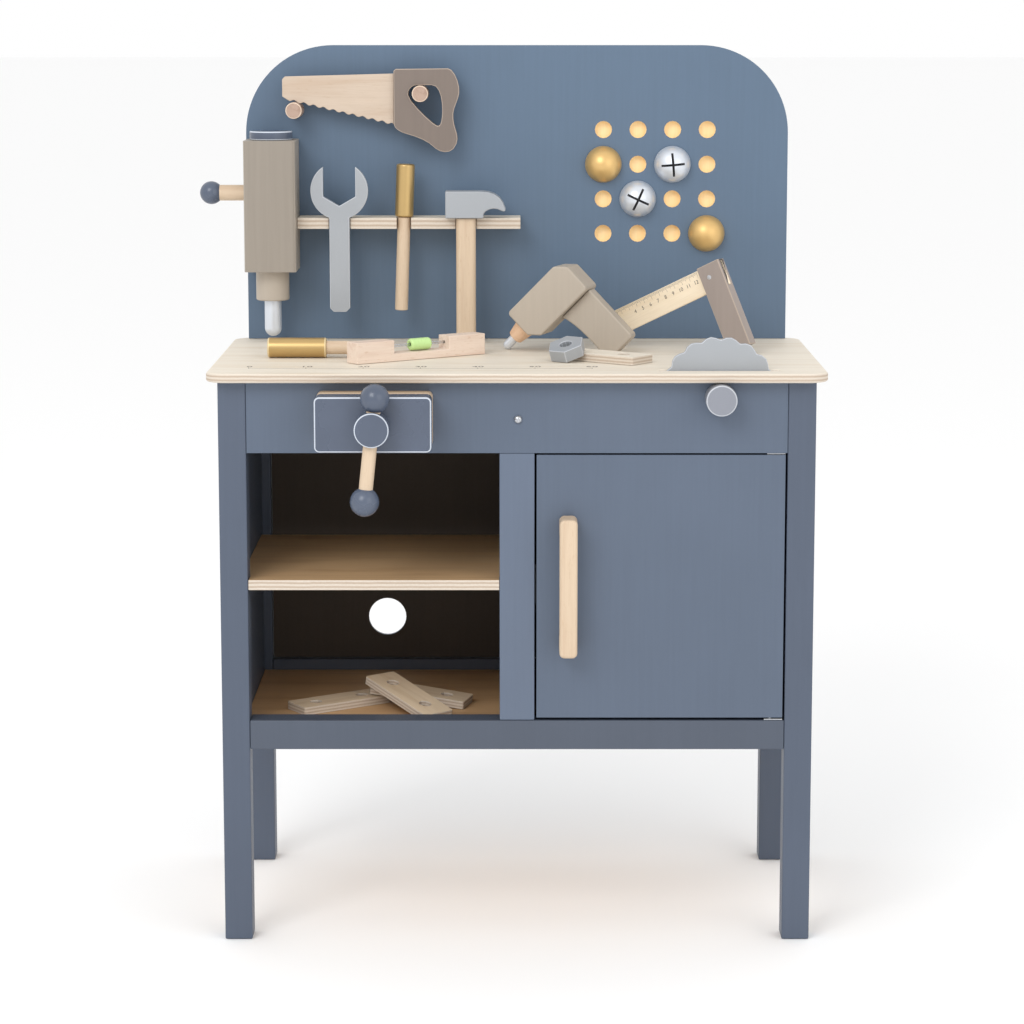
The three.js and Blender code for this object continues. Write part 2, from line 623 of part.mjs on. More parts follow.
function addSawPegs() {
  for (const [side, { x, z }] of [['left', PEG_LEFT], ['right', PEG_RIGHT]]) {
    const peg = rod([x, ON_BOARD - SAW_PEG_REACH, z], [x, ON_BOARD, z], SAW_PEG_RADIUS, undefined, 20);
    add(`saw_peg_${side}`, peg, beech);
  }
}

// ---- Hand saw on its two pegs ----
function addHandSaw() {
  const peg = PEG_RIGHT;
  const tip = PEG_LEFT;
  const bladeEnd = peg.x - 27.6; // where the blade meets the handle
  const handle = new THREE.Shape();
  handle.moveTo(bladeEnd + 2, peg.z + 25.4);
  handle.lineTo(peg.x + 29, peg.z + 26);
  handle.bezierCurveTo(peg.x + 35, peg.z + 26, peg.x + 42, peg.z + 10, peg.x + 40.5, peg.z);
  handle.bezierCurveTo(peg.x + 39, peg.z - 9, peg.x + 33, peg.z - 16, peg.x + 34.3, peg.z - 26);
  handle.bezierCurveTo(peg.x + 35, peg.z - 37, peg.x + 41, peg.z - 43, peg.x + 37.6, peg.z - 52);
  handle.bezierCurveTo(peg.x + 34, peg.z - 63, peg.x + 22, peg.z - 62, peg.x + 16, peg.z - 57);
  handle.bezierCurveTo(peg.x + 5, peg.z - 46, peg.x - 8, peg.z - 44, peg.x - 19.4, peg.z - 40);
  handle.bezierCurveTo(peg.x - 25, peg.z - 37, bladeEnd, peg.z - 35, bladeEnd, peg.z - 30);
  handle.lineTo(bladeEnd, peg.z + 23.4);
  const hang = SAW_PEG_RADIUS + GAP; // the top of the grip hole rests on the peg
  const grip = new THREE.Shape();
  grip.moveTo(peg.x - 12.6, peg.z - 1);
  grip.bezierCurveTo(peg.x - 12.8, peg.z + 5, peg.x - 8, peg.z + hang, peg.x - 3, peg.z + hang);
  grip.lineTo(peg.x + 12, peg.z + hang);
  grip.bezierCurveTo(peg.x + 20, peg.z + hang, peg.x + 23, peg.z - 4, peg.x + 23, peg.z - 18);
  grip.bezierCurveTo(peg.x + 22.6, peg.z - 27, peg.x + 21.6, peg.z - 34, peg.x + 18, peg.z - 33.5);
  grip.bezierCurveTo(peg.x + 14, peg.z - 33, peg.x - 12.4, peg.z - 8, peg.x - 12.6, peg.z - 1);
  const y0 = HAND_SAW_Y - HAND_SAW.handle / 2;
  const y1 = y0 + HAND_SAW.handle;
  add('hand_saw_handle', cut(upright(handle, y0, y1, 5), upright(grip, y0 - 1, y1 + 1, 5)), taupePaint);

  const blade = new THREE.Shape();
  const bladeLeft = tip.x - 12.5;
  const bladeRight = bladeEnd - GAP;
  blade.moveTo(bladeRight, peg.z + 20.6);
  blade.lineTo(bladeLeft + 3, peg.z + 17.6);
  blade.lineTo(bladeLeft, peg.z + 14.6);
  blade.lineTo(bladeLeft, peg.z - 3);
  const edgeStart = tip.x - HAND_SAW.toothPitch / 2;
  const steps = Math.floor((bladeRight - edgeStart) / (HAND_SAW.toothPitch / 6));
  for (let i = 0; i <= steps; i += 1) {
    const x = edgeStart + (i * HAND_SAW.toothPitch) / 6;
    const phase = (2 * Math.PI * (x - tip.x)) / HAND_SAW.toothPitch;
    const line = tip.z + SAW_PEG_RADIUS + 2.1 - HAND_SAW.slope * (x - tip.x);
    blade.lineTo(x, line - HAND_SAW.toothWave * (1 - Math.cos(phase)));
  }
  blade.lineTo(bladeRight, peg.z - 32);
  const bladeY = HAND_SAW_Y - HAND_SAW.blade / 2;
  add('hand_saw_blade', upright(blade, bladeY, bladeY + HAND_SAW.blade), plywood);
}

// ---- Tool rack and the tools that hang in it ----
function addToolRack() {
  const notches = [
    [WRENCH_X, WRENCH.shaft / 2],
    [DRIVER_X, DRIVER.shaft],
    [HAMMER_X, HAMMER.handle / 2],
  ];
  const outline = new THREE.Shape();
  outline.moveTo(RACK_LEFT, ON_BOARD);
  outline.lineTo(RACK_LEFT, RACK_FRONT);
  for (const [x, half] of notches) {
    const reach = half + NOTCH_CLEARANCE;
    outline.lineTo(x - reach, RACK_FRONT);
    outline.lineTo(x - reach, RACK_FRONT + NOTCH_DEPTH);
    outline.lineTo(x + reach, RACK_FRONT + NOTCH_DEPTH);
    outline.lineTo(x + reach, RACK_FRONT);
  }
  outline.lineTo(RACK_RIGHT, RACK_FRONT);
  outline.lineTo(RACK_RIGHT, ON_BOARD);
  add('tool_rack', raised(outline, RACK_TOP - RACK_THICKNESS, RACK_TOP), plywood);
}

// Open-ended wrench that hangs by its head.
function addWrench() {
  const { shaft, head, jaw, thickness, drop, mouth } = WRENCH;
  const x = WRENCH_X;
  const neck = Math.asin(shaft / 2 / head);
  const tip = Math.asin(jaw / 2 / head);
  const centre = ON_RACK + head * Math.cos(neck);
  const bottom = RACK_TOP - drop;
  const outline = new THREE.Shape();
  outline.moveTo(x - shaft / 2 + 4, bottom);
  outline.lineTo(x + shaft / 2 - 4, bottom);
  outline.lineTo(x + shaft / 2, bottom + 4);
  outline.absarc(x, centre, head, -Math.PI / 2 + neck, Math.PI / 2 - tip);
  outline.lineTo(x + jaw / 2, centre - 6);
  outline.lineTo(x, centre - 6 - mouth * 0.7);
  outline.lineTo(x - jaw / 2, centre - 6);
  outline.absarc(x, centre, head, Math.PI / 2 + tip, 1.5 * Math.PI - neck);
  outline.lineTo(x - shaft / 2, bottom + 4);
  const y0 = RACK_FRONT - 4;
  add('wrench', upright(outline, y0, y0 + thickness, 10), silverPaint);
}

// Screwdriver that hangs by the foot of its grip and leans in its notch.
function addHangingScrewdriver() {
  const { grip, gripLength, shaft, drop, lean } = DRIVER;
  const group = new THREE.Group();
  const tilt = THREE.MathUtils.degToRad(lean);
  group.position.set(DRIVER_X, RACK_FRONT + grip + 1, ON_RACK + grip * Math.sin(tilt));
  group.rotation.y = tilt;
  const handle = rod([0, 0, 0], [0, 0, gripLength], grip);
  add('screwdriver_grip', handle, goldPaint, group);
  add('screwdriver_shaft', rod([0, 0, -drop], [0, 0, -GAP], shaft), beech, group);
  bench.add(group);
}

// Claw hammer that hangs by its head.
function addHammer() {
  const { handle, handleDepth, drop, headDepth, headHeight } = HAMMER;
  const x = HAMMER_X;
  const middle = RACK_FRONT - 1;
  const z0 = ON_RACK;
  const z1 = z0 + headHeight;
  const outline = new THREE.Shape();
  outline.moveTo(x - 21.3, z0);
  outline.lineTo(x + 18.4, z0);
  outline.lineTo(x + 18.4, z0 + 4.4);
  outline.bezierCurveTo(x + 21, z0 + 9.5, x + 30, z0 + 12.5, x + 37.4, z0 + 7.6);
  outline.bezierCurveTo(x + 40, z0 + 6.4, x + 41.8, z0 + 7.8, x + 41.2, z0 + 10);
  outline.bezierCurveTo(x + 38, z0 + 22, x + 30, z1, x + 16, z1);
  outline.lineTo(x - 21.3, z1);
  add('hammer_head', upright(outline, middle - headDepth / 2, middle + headDepth / 2, 5), silverPaint);
  const plan = roundedRectangle(
    x - handle / 2,
    x + handle / 2,
    middle - handleDepth / 2,
    middle + handleDepth / 2,
    5
  );
  add('hammer_handle', raised(plan, z0 - drop, z0 - GAP, 3), beech);
}

// ---- Drill press ----
function addDrillPress() {
  const left = PRESS_X - PRESS_WIDTH / 2;
  const boreRadius = SPINDLE_RADIUS + SPINDLE_CLEARANCE;
  const spindle = (z) => [PRESS_X, PRESS_Y, z];
  const housing = roundedRectangle(left, left + PRESS_WIDTH, ON_BOARD - PRESS_DEPTH, ON_BOARD, 4);
  const bore = rod(spindle(PRESS_BOTTOM - 1), spindle(PRESS_TOP + 1), boreRadius, undefined, 28);
  const slotHalf = LEVER_RADIUS + 1;
  const slotZ1 = LEVER_Z + SPINDLE_TRAVEL + slotHalf;
  const slot = block(left - 1, PRESS_X, PRESS_Y - slotHalf, PRESS_Y + slotHalf, LEVER_Z - slotHalf, slotZ1);
  add('press_housing', cut(raised(housing, PRESS_BOTTOM, PRESS_TOP, 3), bore, slot), beigePaint);

  const leverInner = PRESS_X - SPINDLE_RADIUS + 8;
  const lever = (x) => [x, PRESS_Y, LEVER_Z];
  const leverHole = rod(lever(left), lever(leverInner + GAP), LEVER_RADIUS + GAP);
  const quill = rod(spindle(SPINDLE_BOTTOM), spindle(PRESS_TOP), SPINDLE_RADIUS, undefined, 28);
  const bit = domedPin(PRESS_BIT_RADIUS, PRESS_BIT_LENGTH + 1).rotateX(Math.PI);
  bit.translate(...spindle(SPINDLE_BOTTOM + 1));
  add('press_spindle', cut(join(quill, bit), leverHole), beigePaint);
  const stick = rod(lever(leverInner), lever(LEVER_END_X), LEVER_RADIUS, undefined, 20);
  add('press_lever', join(stick, ball(lever(LEVER_END_X), LEVER_BALL_RADIUS)), beech);

  const capBottom = PRESS_TOP + GAP;
  const capTop = capBottom + PRESS_CAP_THICKNESS;
  const cap = rod(spindle(capBottom), spindle(capTop), PRESS_CAP_RADIUS, undefined, 28);
  add('press_cap', cap, paleBluePaint);
}

// ---- Vise ----
function jawPlate(y0, y1) {
  const half = VISE_WIDTH / 2;
  const face = roundedRectangle(VISE_X - half, VISE_X + half, VISE_TOP - VISE_HEIGHT, VISE_TOP, JAW_CORNER);
  return upright(face, y0, y1, 3);
}

function addVise() {
  const fixedJaw = jawPlate(FIXED_JAW_FRONT, FIXED_JAW_BACK);
  const fixedHoles = viseRodHoles(FIXED_JAW_FRONT - 1, FIXED_JAW_BACK + 1);
  add('vise_fixed_jaw', cut(fixedJaw, ...fixedHoles), beech);

  const at = (y) => [VISE_X, y, SCREW_Z];
  const screwHole = rod(at(MOVING_JAW_FRONT - 1), at(MOVING_JAW_BACK + 1), SCREW_RADIUS + SCREW_CLEARANCE);
  const guides = [-1, 1].map((side) => {
    const x = VISE_X + side * GUIDE_SPREAD;
    const start = MOVING_JAW_BACK - 1;
    return rod([x, start, SCREW_Z], [x, start + GUIDE_LENGTH, SCREW_Z], GUIDE_RADIUS, undefined, 12);
  });
  const movingJaw = cut(jawPlate(MOVING_JAW_FRONT, MOVING_JAW_BACK), screwHole);
  add('vise_moving_jaw', join(movingJaw, ...guides), paleBluePaint);

  const tilt = THREE.MathUtils.degToRad(BAR_TILT);
  const along = (distance) => [
    VISE_X + distance * Math.sin(tilt),
    BAR_Y,
    SCREW_Z + distance * Math.cos(tilt),
  ];
  const hub = rod(at(HUB_FRONT), at(HUB_BACK), HUB_RADIUS, undefined, 28);
  const screw = rod(at(HUB_BACK - 1), at(SCREW_END), SCREW_RADIUS, undefined, 20);
  const barHole = rod(along(-HUB_RADIUS - 2), along(HUB_RADIUS + 2), BAR_RADIUS + GAP);
  add('vise_screw', cut(join(hub, screw), barHole), paleBluePaint);

  const upper = barRest();
  const lower = upper - BAR_LENGTH;
  const bar = rod(along(lower), along(upper), BAR_RADIUS, undefined, 20);
  const balls = [ball(along(upper), BAR_BALL_RADIUS), ball(along(lower), BAR_BALL_RADIUS)];
  add('vise_bar', join(bar, ...balls), beech);
}

// Height of the upper ball's centre above the screw, along the bar. The ball rests on the rim of
// the hub's hole, which is highest along the top of the hub.
function barRest() {
  const rim = BAR_RADIUS + GAP;
  return HUB_RADIUS + Math.sqrt(BAR_BALL_RADIUS ** 2 - rim ** 2) + GAP;
}

// ---- Loose tools lying on the worktop ----
function addLooseScrewdriver() {
  const { fromEdge, beforeBoard, grip, gripLength, shaft, shaftLength } = LOOSE_DRIVER;
  const x = fromEdge - WORKTOP_HALF;
  const y = BOARD_FRONT - beforeBoard;
  const z = ON_WORKTOP + grip;
  const shoulder = x + gripLength;
  const handle = rod([x, y, z], [shoulder, y, z], grip);
  const tip = rod([shoulder - 1, y, z], [shoulder + shaftLength, y, z], shaft);
  add('loose_screwdriver', join(handle, tip), goldPaint);
}

// Spirit level: a beech block with a window, and a bead that slides on two wires joined as a loop.
function addLevel() {
  const { x, beforeBoard, turn, length, width, height, end, base } = LEVEL;
  const group = new THREE.Group();
  group.position.set(x, BOARD_FRONT - beforeBoard, ON_WORKTOP);
  group.rotation.z = THREE.MathUtils.degToRad(turn);
  const rodZ = base + (height - base) / 2;
  const seat = 8; // how deep the rod sits in each end block
  const window = block(end, length - end, -1, width + 1, base, height + 1);
  const rodHole = rod(
    [end - seat - GAP, width / 2, rodZ],
    [length - end + seat + GAP, width / 2, rodZ],
    LEVEL_ROD_RADIUS + GAP,
    undefined,
    12
  );
  add('level_body', cut(block(0, length, 0, width, 0, height), window, rodHole), beech, group);
  const rodX = [end - seat, length - end + seat];
  const wire = rod([rodX[0], width / 2, rodZ], [rodX[1], width / 2, rodZ], LEVEL_ROD_RADIUS, undefined, 12);
  add('level_rod', wire, steel, group);
  const beadX = length / 2 + LEVEL_BEAD.offset;
  const beadHalf = LEVEL_BEAD.length / 2;
  const beadEnds = [beadX - beadHalf, beadX + beadHalf];
  const bead = rod([beadEnds[0], width / 2, rodZ], [beadEnds[1], width / 2, rodZ], LEVEL_BEAD.radius);
  const bore = rod(
    [beadEnds[0] - 1, width / 2, rodZ],
    [beadEnds[1] + 1, width / 2, rodZ],
    LEVEL_BEAD.bore,
    undefined,
    12
  );
  add('level_bead', cut(bead, bore), greenPaint, group);
  bench.add(group);
}

// Toy power drill standing on the tip of its bit and the foot of its grip. In its own frame the
// bit points along -x, the grip along -z, and the middle of the body is the origin.
function addToyDrill() {
  const { x, beforeBoard, turn, rise, length, width, depth, chamfer, corner } = DRILL;
  const chuck = DRILL_CHUCK;
  const group = new THREE.Group();
  const tipCentre = -length / 2 - 2 * GAP - chuck.length - chuck.bitLength + chuck.bit;
  const riseAngle = THREE.MathUtils.degToRad(rise);
  const turnAngle = THREE.MathUtils.degToRad(turn);
  group.rotation.set(0, -riseAngle, turnAngle, 'ZYX');
  const grip = DRILL_GRIP;
  const x1 = length / 2 - grip.setback;
  const x0 = x1 - grip.width;
  const z1 = -width / 2 - GAP;
  const z0 = z1 - grip.length;
  // It stands on the lower of the two: the round tip of the bit or the bevelled foot of the grip.
  const drop = (alongX, alongZ) => -alongX * Math.sin(riseAngle) - alongZ * Math.cos(riseAngle);
  const tipDrop = drop(tipCentre, 0) + chuck.bit;
  const footDrop = Math.max(drop(x0 + grip.chamfer, z0), drop(x0, z0 + grip.chamfer));
  const reach = -tipCentre * Math.cos(riseAngle);
  group.position.set(
    x + reach * Math.cos(turnAngle),
    BOARD_FRONT - beforeBoard + reach * Math.sin(turnAngle),
    ON_WORKTOP + Math.max(tipDrop, footDrop)
  );
  const body = chamferedRectangle(-length / 2, length / 2, -width / 2, width / 2, chamfer, corner);
  add('drill_body', upright(body, -depth / 2, depth / 2), beigePaint, group);

  const outline = new THREE.Shape();
  outline.moveTo(x0 + grip.chamfer, z0);
  outline.lineTo(x1 - grip.corner, z0);
  outline.lineTo(x1, z0 + grip.corner);
  outline.lineTo(x1, z1);
  outline.lineTo(x0 - 5, z1);
  outline.quadraticCurveTo(x0 + 2, z1 - grip.length * 0.3, x0, z0 + grip.chamfer);
  add('drill_grip', upright(outline, -grip.depth / 2, grip.depth / 2), beigePaint, group);

  const noseX = -length / 2 - GAP;
  const chuckCone = rod([noseX, 0, 0], [noseX - chuck.length, 0, 0], chuck.rear, chuck.front);
  const bitStart = noseX - chuck.length + 1;
  const bit = domedPin(chuck.bit, chuck.bitLength + 1 + GAP).rotateY(-Math.PI / 2);
  bit.translate(bitStart, 0, 0);
  add('drill_chuck', join(chuckCone, bit), beech, group);
  bench.add(group);
}

// Try square standing on the corner of its rule and the corner of its stock. In its own frame
// the rule runs along -x and the stock hangs along -z from the corner at the origin.
function addTrySquare() {
  const { fromEdge, beforeBoard, turn, rise, depth } = SQUARE;
  const stock = SQUARE_STOCK;
  const rule = SQUARE_RULE;
  const group = new THREE.Group();
  const riseAngle = THREE.MathUtils.degToRad(rise);
  const turnAngle = THREE.MathUtils.degToRad(turn);
  group.rotation.set(0, -riseAngle, turnAngle, 'ZYX');
  const stockDrop = stock.length - stock.lip;
  group.position.set(
    WORKTOP_HALF - fromEdge - stockDrop * Math.sin(riseAngle) * Math.cos(turnAngle),
    BOARD_FRONT - beforeBoard - stockDrop * Math.sin(riseAngle) * Math.sin(turnAngle),
    ON_WORKTOP + stockDrop * Math.cos(riseAngle)
  );
  const tenonFront = (depth - rule.thickness) / 2;
  const stockBlock = block(0, stock.width, 0, depth, -stockDrop, stock.lip);
  const mortise = block(
    -1,
    stock.width + 1,
    tenonFront - GAP,
    tenonFront + rule.thickness + GAP,
    -rule.width - GAP,
    GAP
  );
  add('square_stock', cut(stockBlock, mortise), taupePaint, group);
  const tenonBack = tenonFront + rule.thickness;
  const ruleBlock = block(-rule.length, stock.width, tenonFront, tenonBack, -rule.width, 0);
  add('square_rule', ruleBlock, plywood, group);
  bench.add(group);
}

// Hexagonal nut that leans on the front edge of the strip it lies beside. It is placed in the
// strip's own frame.
function addNut(stripGroup) {
  const { radius, thickness, hole, lean, along } = NUT;
  const outline = new THREE.Shape();
  for (let i = 0; i < 6; i += 1) {
    const angle = ((i + 0.5) * Math.PI) / 3;
    const point = [radius * Math.cos(angle), radius * Math.sin(angle)];
    if (i === 0) outline.moveTo(...point);
    else outline.lineTo(...point);
  }
  const bore = new THREE.Path();
  bore.absarc(0, 0, hole, 0, 2 * Math.PI, true);
  outline.holes.push(bore);
  const leanAngle = THREE.MathUtils.degToRad(lean);
  const halfAcross = radius * Math.cos(Math.PI / 6);
  const lift = halfAcross * Math.sin(leanAngle);
  const beforeEdge = (STRIP.thickness + GAP - lift) / Math.tan(leanAngle);
  const group = new THREE.Group();
  group.position.set(along, -STRIP.width / 2 - beforeEdge, lift);
  group.rotation.set(0, -leanAngle, Math.PI / 2, 'ZYX');
  add('nut', raised(outline, 0, thickness, 5), silverPaint, group);
  stripGroup.add(group);
}

// Perforated construction strip, placed by the middle of its underside.
function addStrip(name, [x, y, z], turn, pitch = 0) {
  const { length, width, thickness, hole, spread } = STRIP;
  const outline = roundedRectangle(-length / 2, length / 2, -width / 2, width / 2, 2);
  for (const side of [-1, 1]) {
    const bore = new THREE.Path();
    bore.absarc(side * spread, 0, hole, 0, 2 * Math.PI, true);
    outline.holes.push(bore);
  }
  const group = new THREE.Group();
  group.position.set(x, y, z);
  group.rotation.set(0, THREE.MathUtils.degToRad(pitch), THREE.MathUtils.degToRad(turn), 'ZYX');
  add(name, raised(outline, 0, thickness, 4), plywood, group);
  bench.add(group);
  return group;
}

function addFloorStrip(name, { inset, behindRail, turn, pitch }) {
  // It rests on the cabinet floor by its lower end.
  const lift = (STRIP.length / 2) * Math.sin(THREE.MathUtils.degToRad(pitch));
  const place = [inset - LEG_INNER, LEG + behindRail, FLOOR_TOP + GAP + lift];
  addStrip(name, place, turn, pitch);
}

addLegs();
addRails();
addPanels();
addDivider();
addShelf();
addDoor();
addDoorHandle();
addDoorCatch();
addWorktop();
addCircularSaw();
addApronScrew();
addBackboard();
addBolt('gold_bolt_left', 0, 2, goldPaint);
addBolt('gold_bolt_right', 3, 0, goldPaint);
addBolt('slotted_bolt_upper', 2, 2, silverPaint, 5);
addBolt('slotted_bolt_lower', 1, 1, silverPaint, -25);
addSawPegs();
addHandSaw();
addToolRack();
addWrench();
addHangingScrewdriver();
addHammer();
addDrillPress();
addVise();
addLooseScrewdriver();
addLevel();
addToyDrill();
addTrySquare();

const stripPlace = [WORKTOP_STRIP.x, BOARD_FRONT - WORKTOP_STRIP.beforeBoard, ON_WORKTOP];
const worktopStrip = addStrip('worktop_strip', stripPlace, WORKTOP_STRIP.turn);
addNut(worktopStrip);
addFloorStrip('floor_strip_left', FLOOR_STRIP_LEFT);
addFloorStrip('floor_strip_back', FLOOR_STRIP_BACK);
addFloorStrip('floor_strip_top', FLOOR_STRIP_TOP);

// The origin is the middle of the footprint, on the floor.
const bounds = new THREE.Box3().setFromObject(bench, true);
bench.position.set(-(bounds.min.x + bounds.max.x) / 2, -(bounds.min.y + bounds.max.y) / 2, 0);

export default bench;
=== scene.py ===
"""The looks of the toy workbench: every piece shaped, finished and fixed to the body it moves with."""

import json
import math

import bmesh
import bpy
from mathutils import Euler, Matrix, Vector

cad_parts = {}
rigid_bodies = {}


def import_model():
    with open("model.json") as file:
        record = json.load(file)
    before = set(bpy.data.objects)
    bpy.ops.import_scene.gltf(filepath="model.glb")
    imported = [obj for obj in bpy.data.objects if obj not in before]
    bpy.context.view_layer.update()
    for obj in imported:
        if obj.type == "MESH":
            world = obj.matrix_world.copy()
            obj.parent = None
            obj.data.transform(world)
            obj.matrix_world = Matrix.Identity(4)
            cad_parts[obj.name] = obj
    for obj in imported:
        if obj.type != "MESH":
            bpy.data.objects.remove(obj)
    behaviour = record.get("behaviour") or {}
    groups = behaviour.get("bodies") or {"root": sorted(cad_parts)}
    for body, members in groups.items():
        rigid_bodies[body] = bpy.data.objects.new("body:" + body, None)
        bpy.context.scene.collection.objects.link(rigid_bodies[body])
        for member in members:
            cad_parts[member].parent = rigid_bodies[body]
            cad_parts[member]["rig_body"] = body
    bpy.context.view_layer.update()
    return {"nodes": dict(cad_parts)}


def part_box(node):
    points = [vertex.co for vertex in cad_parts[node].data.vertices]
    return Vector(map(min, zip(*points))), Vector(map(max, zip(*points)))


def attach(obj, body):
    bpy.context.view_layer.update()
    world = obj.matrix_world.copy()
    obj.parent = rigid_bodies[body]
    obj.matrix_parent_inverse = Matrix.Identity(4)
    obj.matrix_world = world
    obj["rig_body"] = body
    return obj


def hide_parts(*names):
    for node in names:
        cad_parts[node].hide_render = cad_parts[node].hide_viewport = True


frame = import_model()

MM = 0.001
UP = Vector((0, 0, 1))
FRONT = Vector((0, -1, 0))
LEFT = Vector((-1, 0, 0))
RIGHT = Vector((1, 0, 0))
WIDE, DEEP, TALL = range(3)
UNTURNED = (0, 0, 0)
CLEAR = 0.3  # gap between neighbouring pieces, in millimetres
ROUNDED_ABOVE = math.radians(32)  # edges sharper than this are rounded
CREASED_ABOVE = math.radians(38)  # edges sharper than this are shaded as creases
FLAT_BELOW = math.radians(0.5)  # faces that meet at less than this become one
MERGE_GAP = 0.02  # corners of a CAD piece closer than this become one, in millimetres
TURNED_MERGE_GAP = 0.005
TURNED_SIDES = 64
BALL_STEPS = 32

# ---- Places on the bench ----
LEG_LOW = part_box("front_leg_left")[0]
LEG_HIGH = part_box("front_leg_right")[1]
BENCH_X = (LEG_LOW.x + LEG_HIGH.x) / 2
BENCH_Y = LEG_LOW.y


def middle(node):
    """The middle of a CAD piece's box."""
    low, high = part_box(node)
    return (low + high) / 2


def back_of(node):
    """The middle of the back of a CAD piece's box."""
    place = middle(node)
    return Vector((place.x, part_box(node)[1].y, place.z))


def extent(node, axis):
    """The size of a CAD piece's box along one axis, in millimetres."""
    low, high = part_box(node)
    return (high[axis] - low[axis]) / MM


def on_bench(x, y, z):
    """A point given in millimetres from the middle of the bench, the front of its legs and the floor."""
    return Vector((BENCH_X + x * MM, BENCH_Y + y * MM, z * MM))


# ---- Colours ----
def srgb(red, green, blue):
    """A screen colour as the linear values that a shader takes."""

    def linear(value):
        share = value / 255
        if share <= 0.04045:
            return share / 12.92
        return ((share + 0.055) / 1.055) ** 2.4

    return (linear(red), linear(green), linear(blue), 1.0)


def tinted(colour, factor):
    return tuple(min(1.0, channel * factor) for channel in colour[:3]) + (1.0,)


# ---- Material building ----
WHITE = (1, 1, 1, 1)
NOISE_LOW = 0.3  # most of a noise lies between these two
NOISE_HIGH = 0.7
SHADER_INPUTS = {"colour": "Base Color", "roughness": "Roughness", "metal": "Metallic"}


class Finish:
    """A material under construction. Its pattern sits in the frame of its own piece."""

    def __init__(self, name, centre=(0, 0, 0), turn=UNTURNED):
        self.material = bpy.data.materials.new(name)
        self.material.use_nodes = True
        self.tree = self.material.node_tree
        self.shader = self.tree.nodes["Principled BSDF"]
        coordinates = self.tree.nodes.new("ShaderNodeTexCoord")
        mapping = self.tree.nodes.new("ShaderNodeMapping")
        mapping.vector_type = "TEXTURE"
        mapping.inputs["Location"].default_value = centre
        mapping.inputs["Rotation"].default_value = turn
        self.tree.links.new(coordinates.outputs["Object"], mapping.inputs["Vector"])
        self.where = mapping.outputs["Vector"]

    def feed(self, value, socket):
        """Sets a socket, or links it when the value comes from another node."""
        if isinstance(value, bpy.types.NodeSocket):
            self.tree.links.new(value, socket)
        else:
            socket.default_value = value

    def noise(self, stretch, detail=3.0, distortion=0.0):
        """Noise with so many features per metre along each axis of the piece."""
        scaled = self.tree.nodes.new("ShaderNodeVectorMath")
        scaled.operation = "MULTIPLY"
        self.feed(self.where, scaled.inputs[0])
        self.feed(stretch, scaled.inputs[1])
        texture = self.tree.nodes.new("ShaderNodeTexNoise")
        self.feed(scaled.outputs["Vector"], texture.inputs["Vector"])
        self.feed(1.0, texture.inputs["Scale"])
        self.feed(detail, texture.inputs["Detail"])
        self.feed(distortion, texture.inputs["Distortion"])
        return texture.outputs["Fac"]

    def math(self, operation, first, second=0.0):
        node = self.tree.nodes.new("ShaderNodeMath")
        node.operation = operation
        self.feed(first, node.inputs[0])
        self.feed(second, node.inputs[1])
        return node.outputs["Value"]

    def axis(self, name):
        split = self.tree.nodes.new("ShaderNodeSeparateXYZ")
        self.feed(self.where, split.inputs["Vector"])
        return split.outputs[name]

    def ramp(self, factor, stops):
        """Colours placed along a factor from 0 to 1."""
        node = self.tree.nodes.new("ShaderNodeValToRGB")
        elements = node.color_ramp.elements
        elements[0].position, elements[0].color = stops[0]
        elements[1].position, elements[1].color = stops[-1]
        for position, colour in stops[1:-1]:
            elements.new(position).color = colour
        self.feed(factor, node.inputs["Fac"])
        return node.outputs["Color"]

    def clouded(self, noise, colour, change):
        """A colour that varies with a noise, by so large a share either way."""
        stops = [(NOISE_LOW, tinted(colour, 1 - change)), (NOISE_HIGH, tinted(colour, 1 + change))]
        return self.ramp(noise, stops)

    def spread(self, noise, low, high):
        """A noise carried to the range from low to high."""
        node = self.tree.nodes.new("ShaderNodeMapRange")
        self.feed(noise, node.inputs["Value"])
        self.feed(NOISE_LOW, node.inputs["From Min"])
        self.feed(NOISE_HIGH, node.inputs["From Max"])
        self.feed(low, node.inputs["To Min"])
        self.feed(high, node.inputs["To Max"])
        return node.outputs["Result"]

    def mix(self, factor, first, second, blend="MIX"):
        node = self.tree.nodes.new("ShaderNodeMix")
        node.data_type = "RGBA"
        node.blend_type = blend
        self.feed(factor, node.inputs["Factor"])
        self.feed(first, node.inputs[6])
        self.feed(second, node.inputs[7])
        return node.outputs[2]

    def bump(self, height, depth, strength=1.0):
        """Relief on the surface, so many millimetres deep."""
        node = self.tree.nodes.new("ShaderNodeBump")
        self.feed(strength, node.inputs["Strength"])
        self.feed(depth * MM, node.inputs["Distance"])
        self.feed(height, node.inputs["Height"])
        self.feed(node.outputs["Normal"], self.shader.inputs["Normal"])

    def surface(self, **values):
        """Sets the shader's colour, roughness and metal, and returns the material."""
        for key, value in values.items():
            self.feed(value, self.shader.inputs[SHADER_INPUTS[key]])
        return self.material


def satin_paint(name, colour, roughness=0.46, grain=0.5):
    """Sprayed satin paint on wood, with the wood faintly raised under it."""
    paint = Finish(name)
    cloud = paint.noise((5, 5, 5), detail=4)
    grain_lines = paint.noise((260, 260, 9), detail=4, distortion=0.4)
    peel = paint.noise((620, 620, 620), detail=2)
    shade = paint.clouded(cloud, colour, 0.05)
    lines = paint.ramp(grain_lines, [(0.35, (0.93, 0.93, 0.93, 1)), (0.65, WHITE)])
    body = paint.mix(grain, shade, lines, "MULTIPLY")
    relief = paint.math("ADD", paint.math("MULTIPLY", grain_lines, 0.6), paint.math("MULTIPLY", peel, 0.4))
    paint.bump(relief, depth=0.12, strength=0.35)
    return paint.surface(colour=body, roughness=paint.spread(peel, roughness - 0.05, roughness + 0.06))


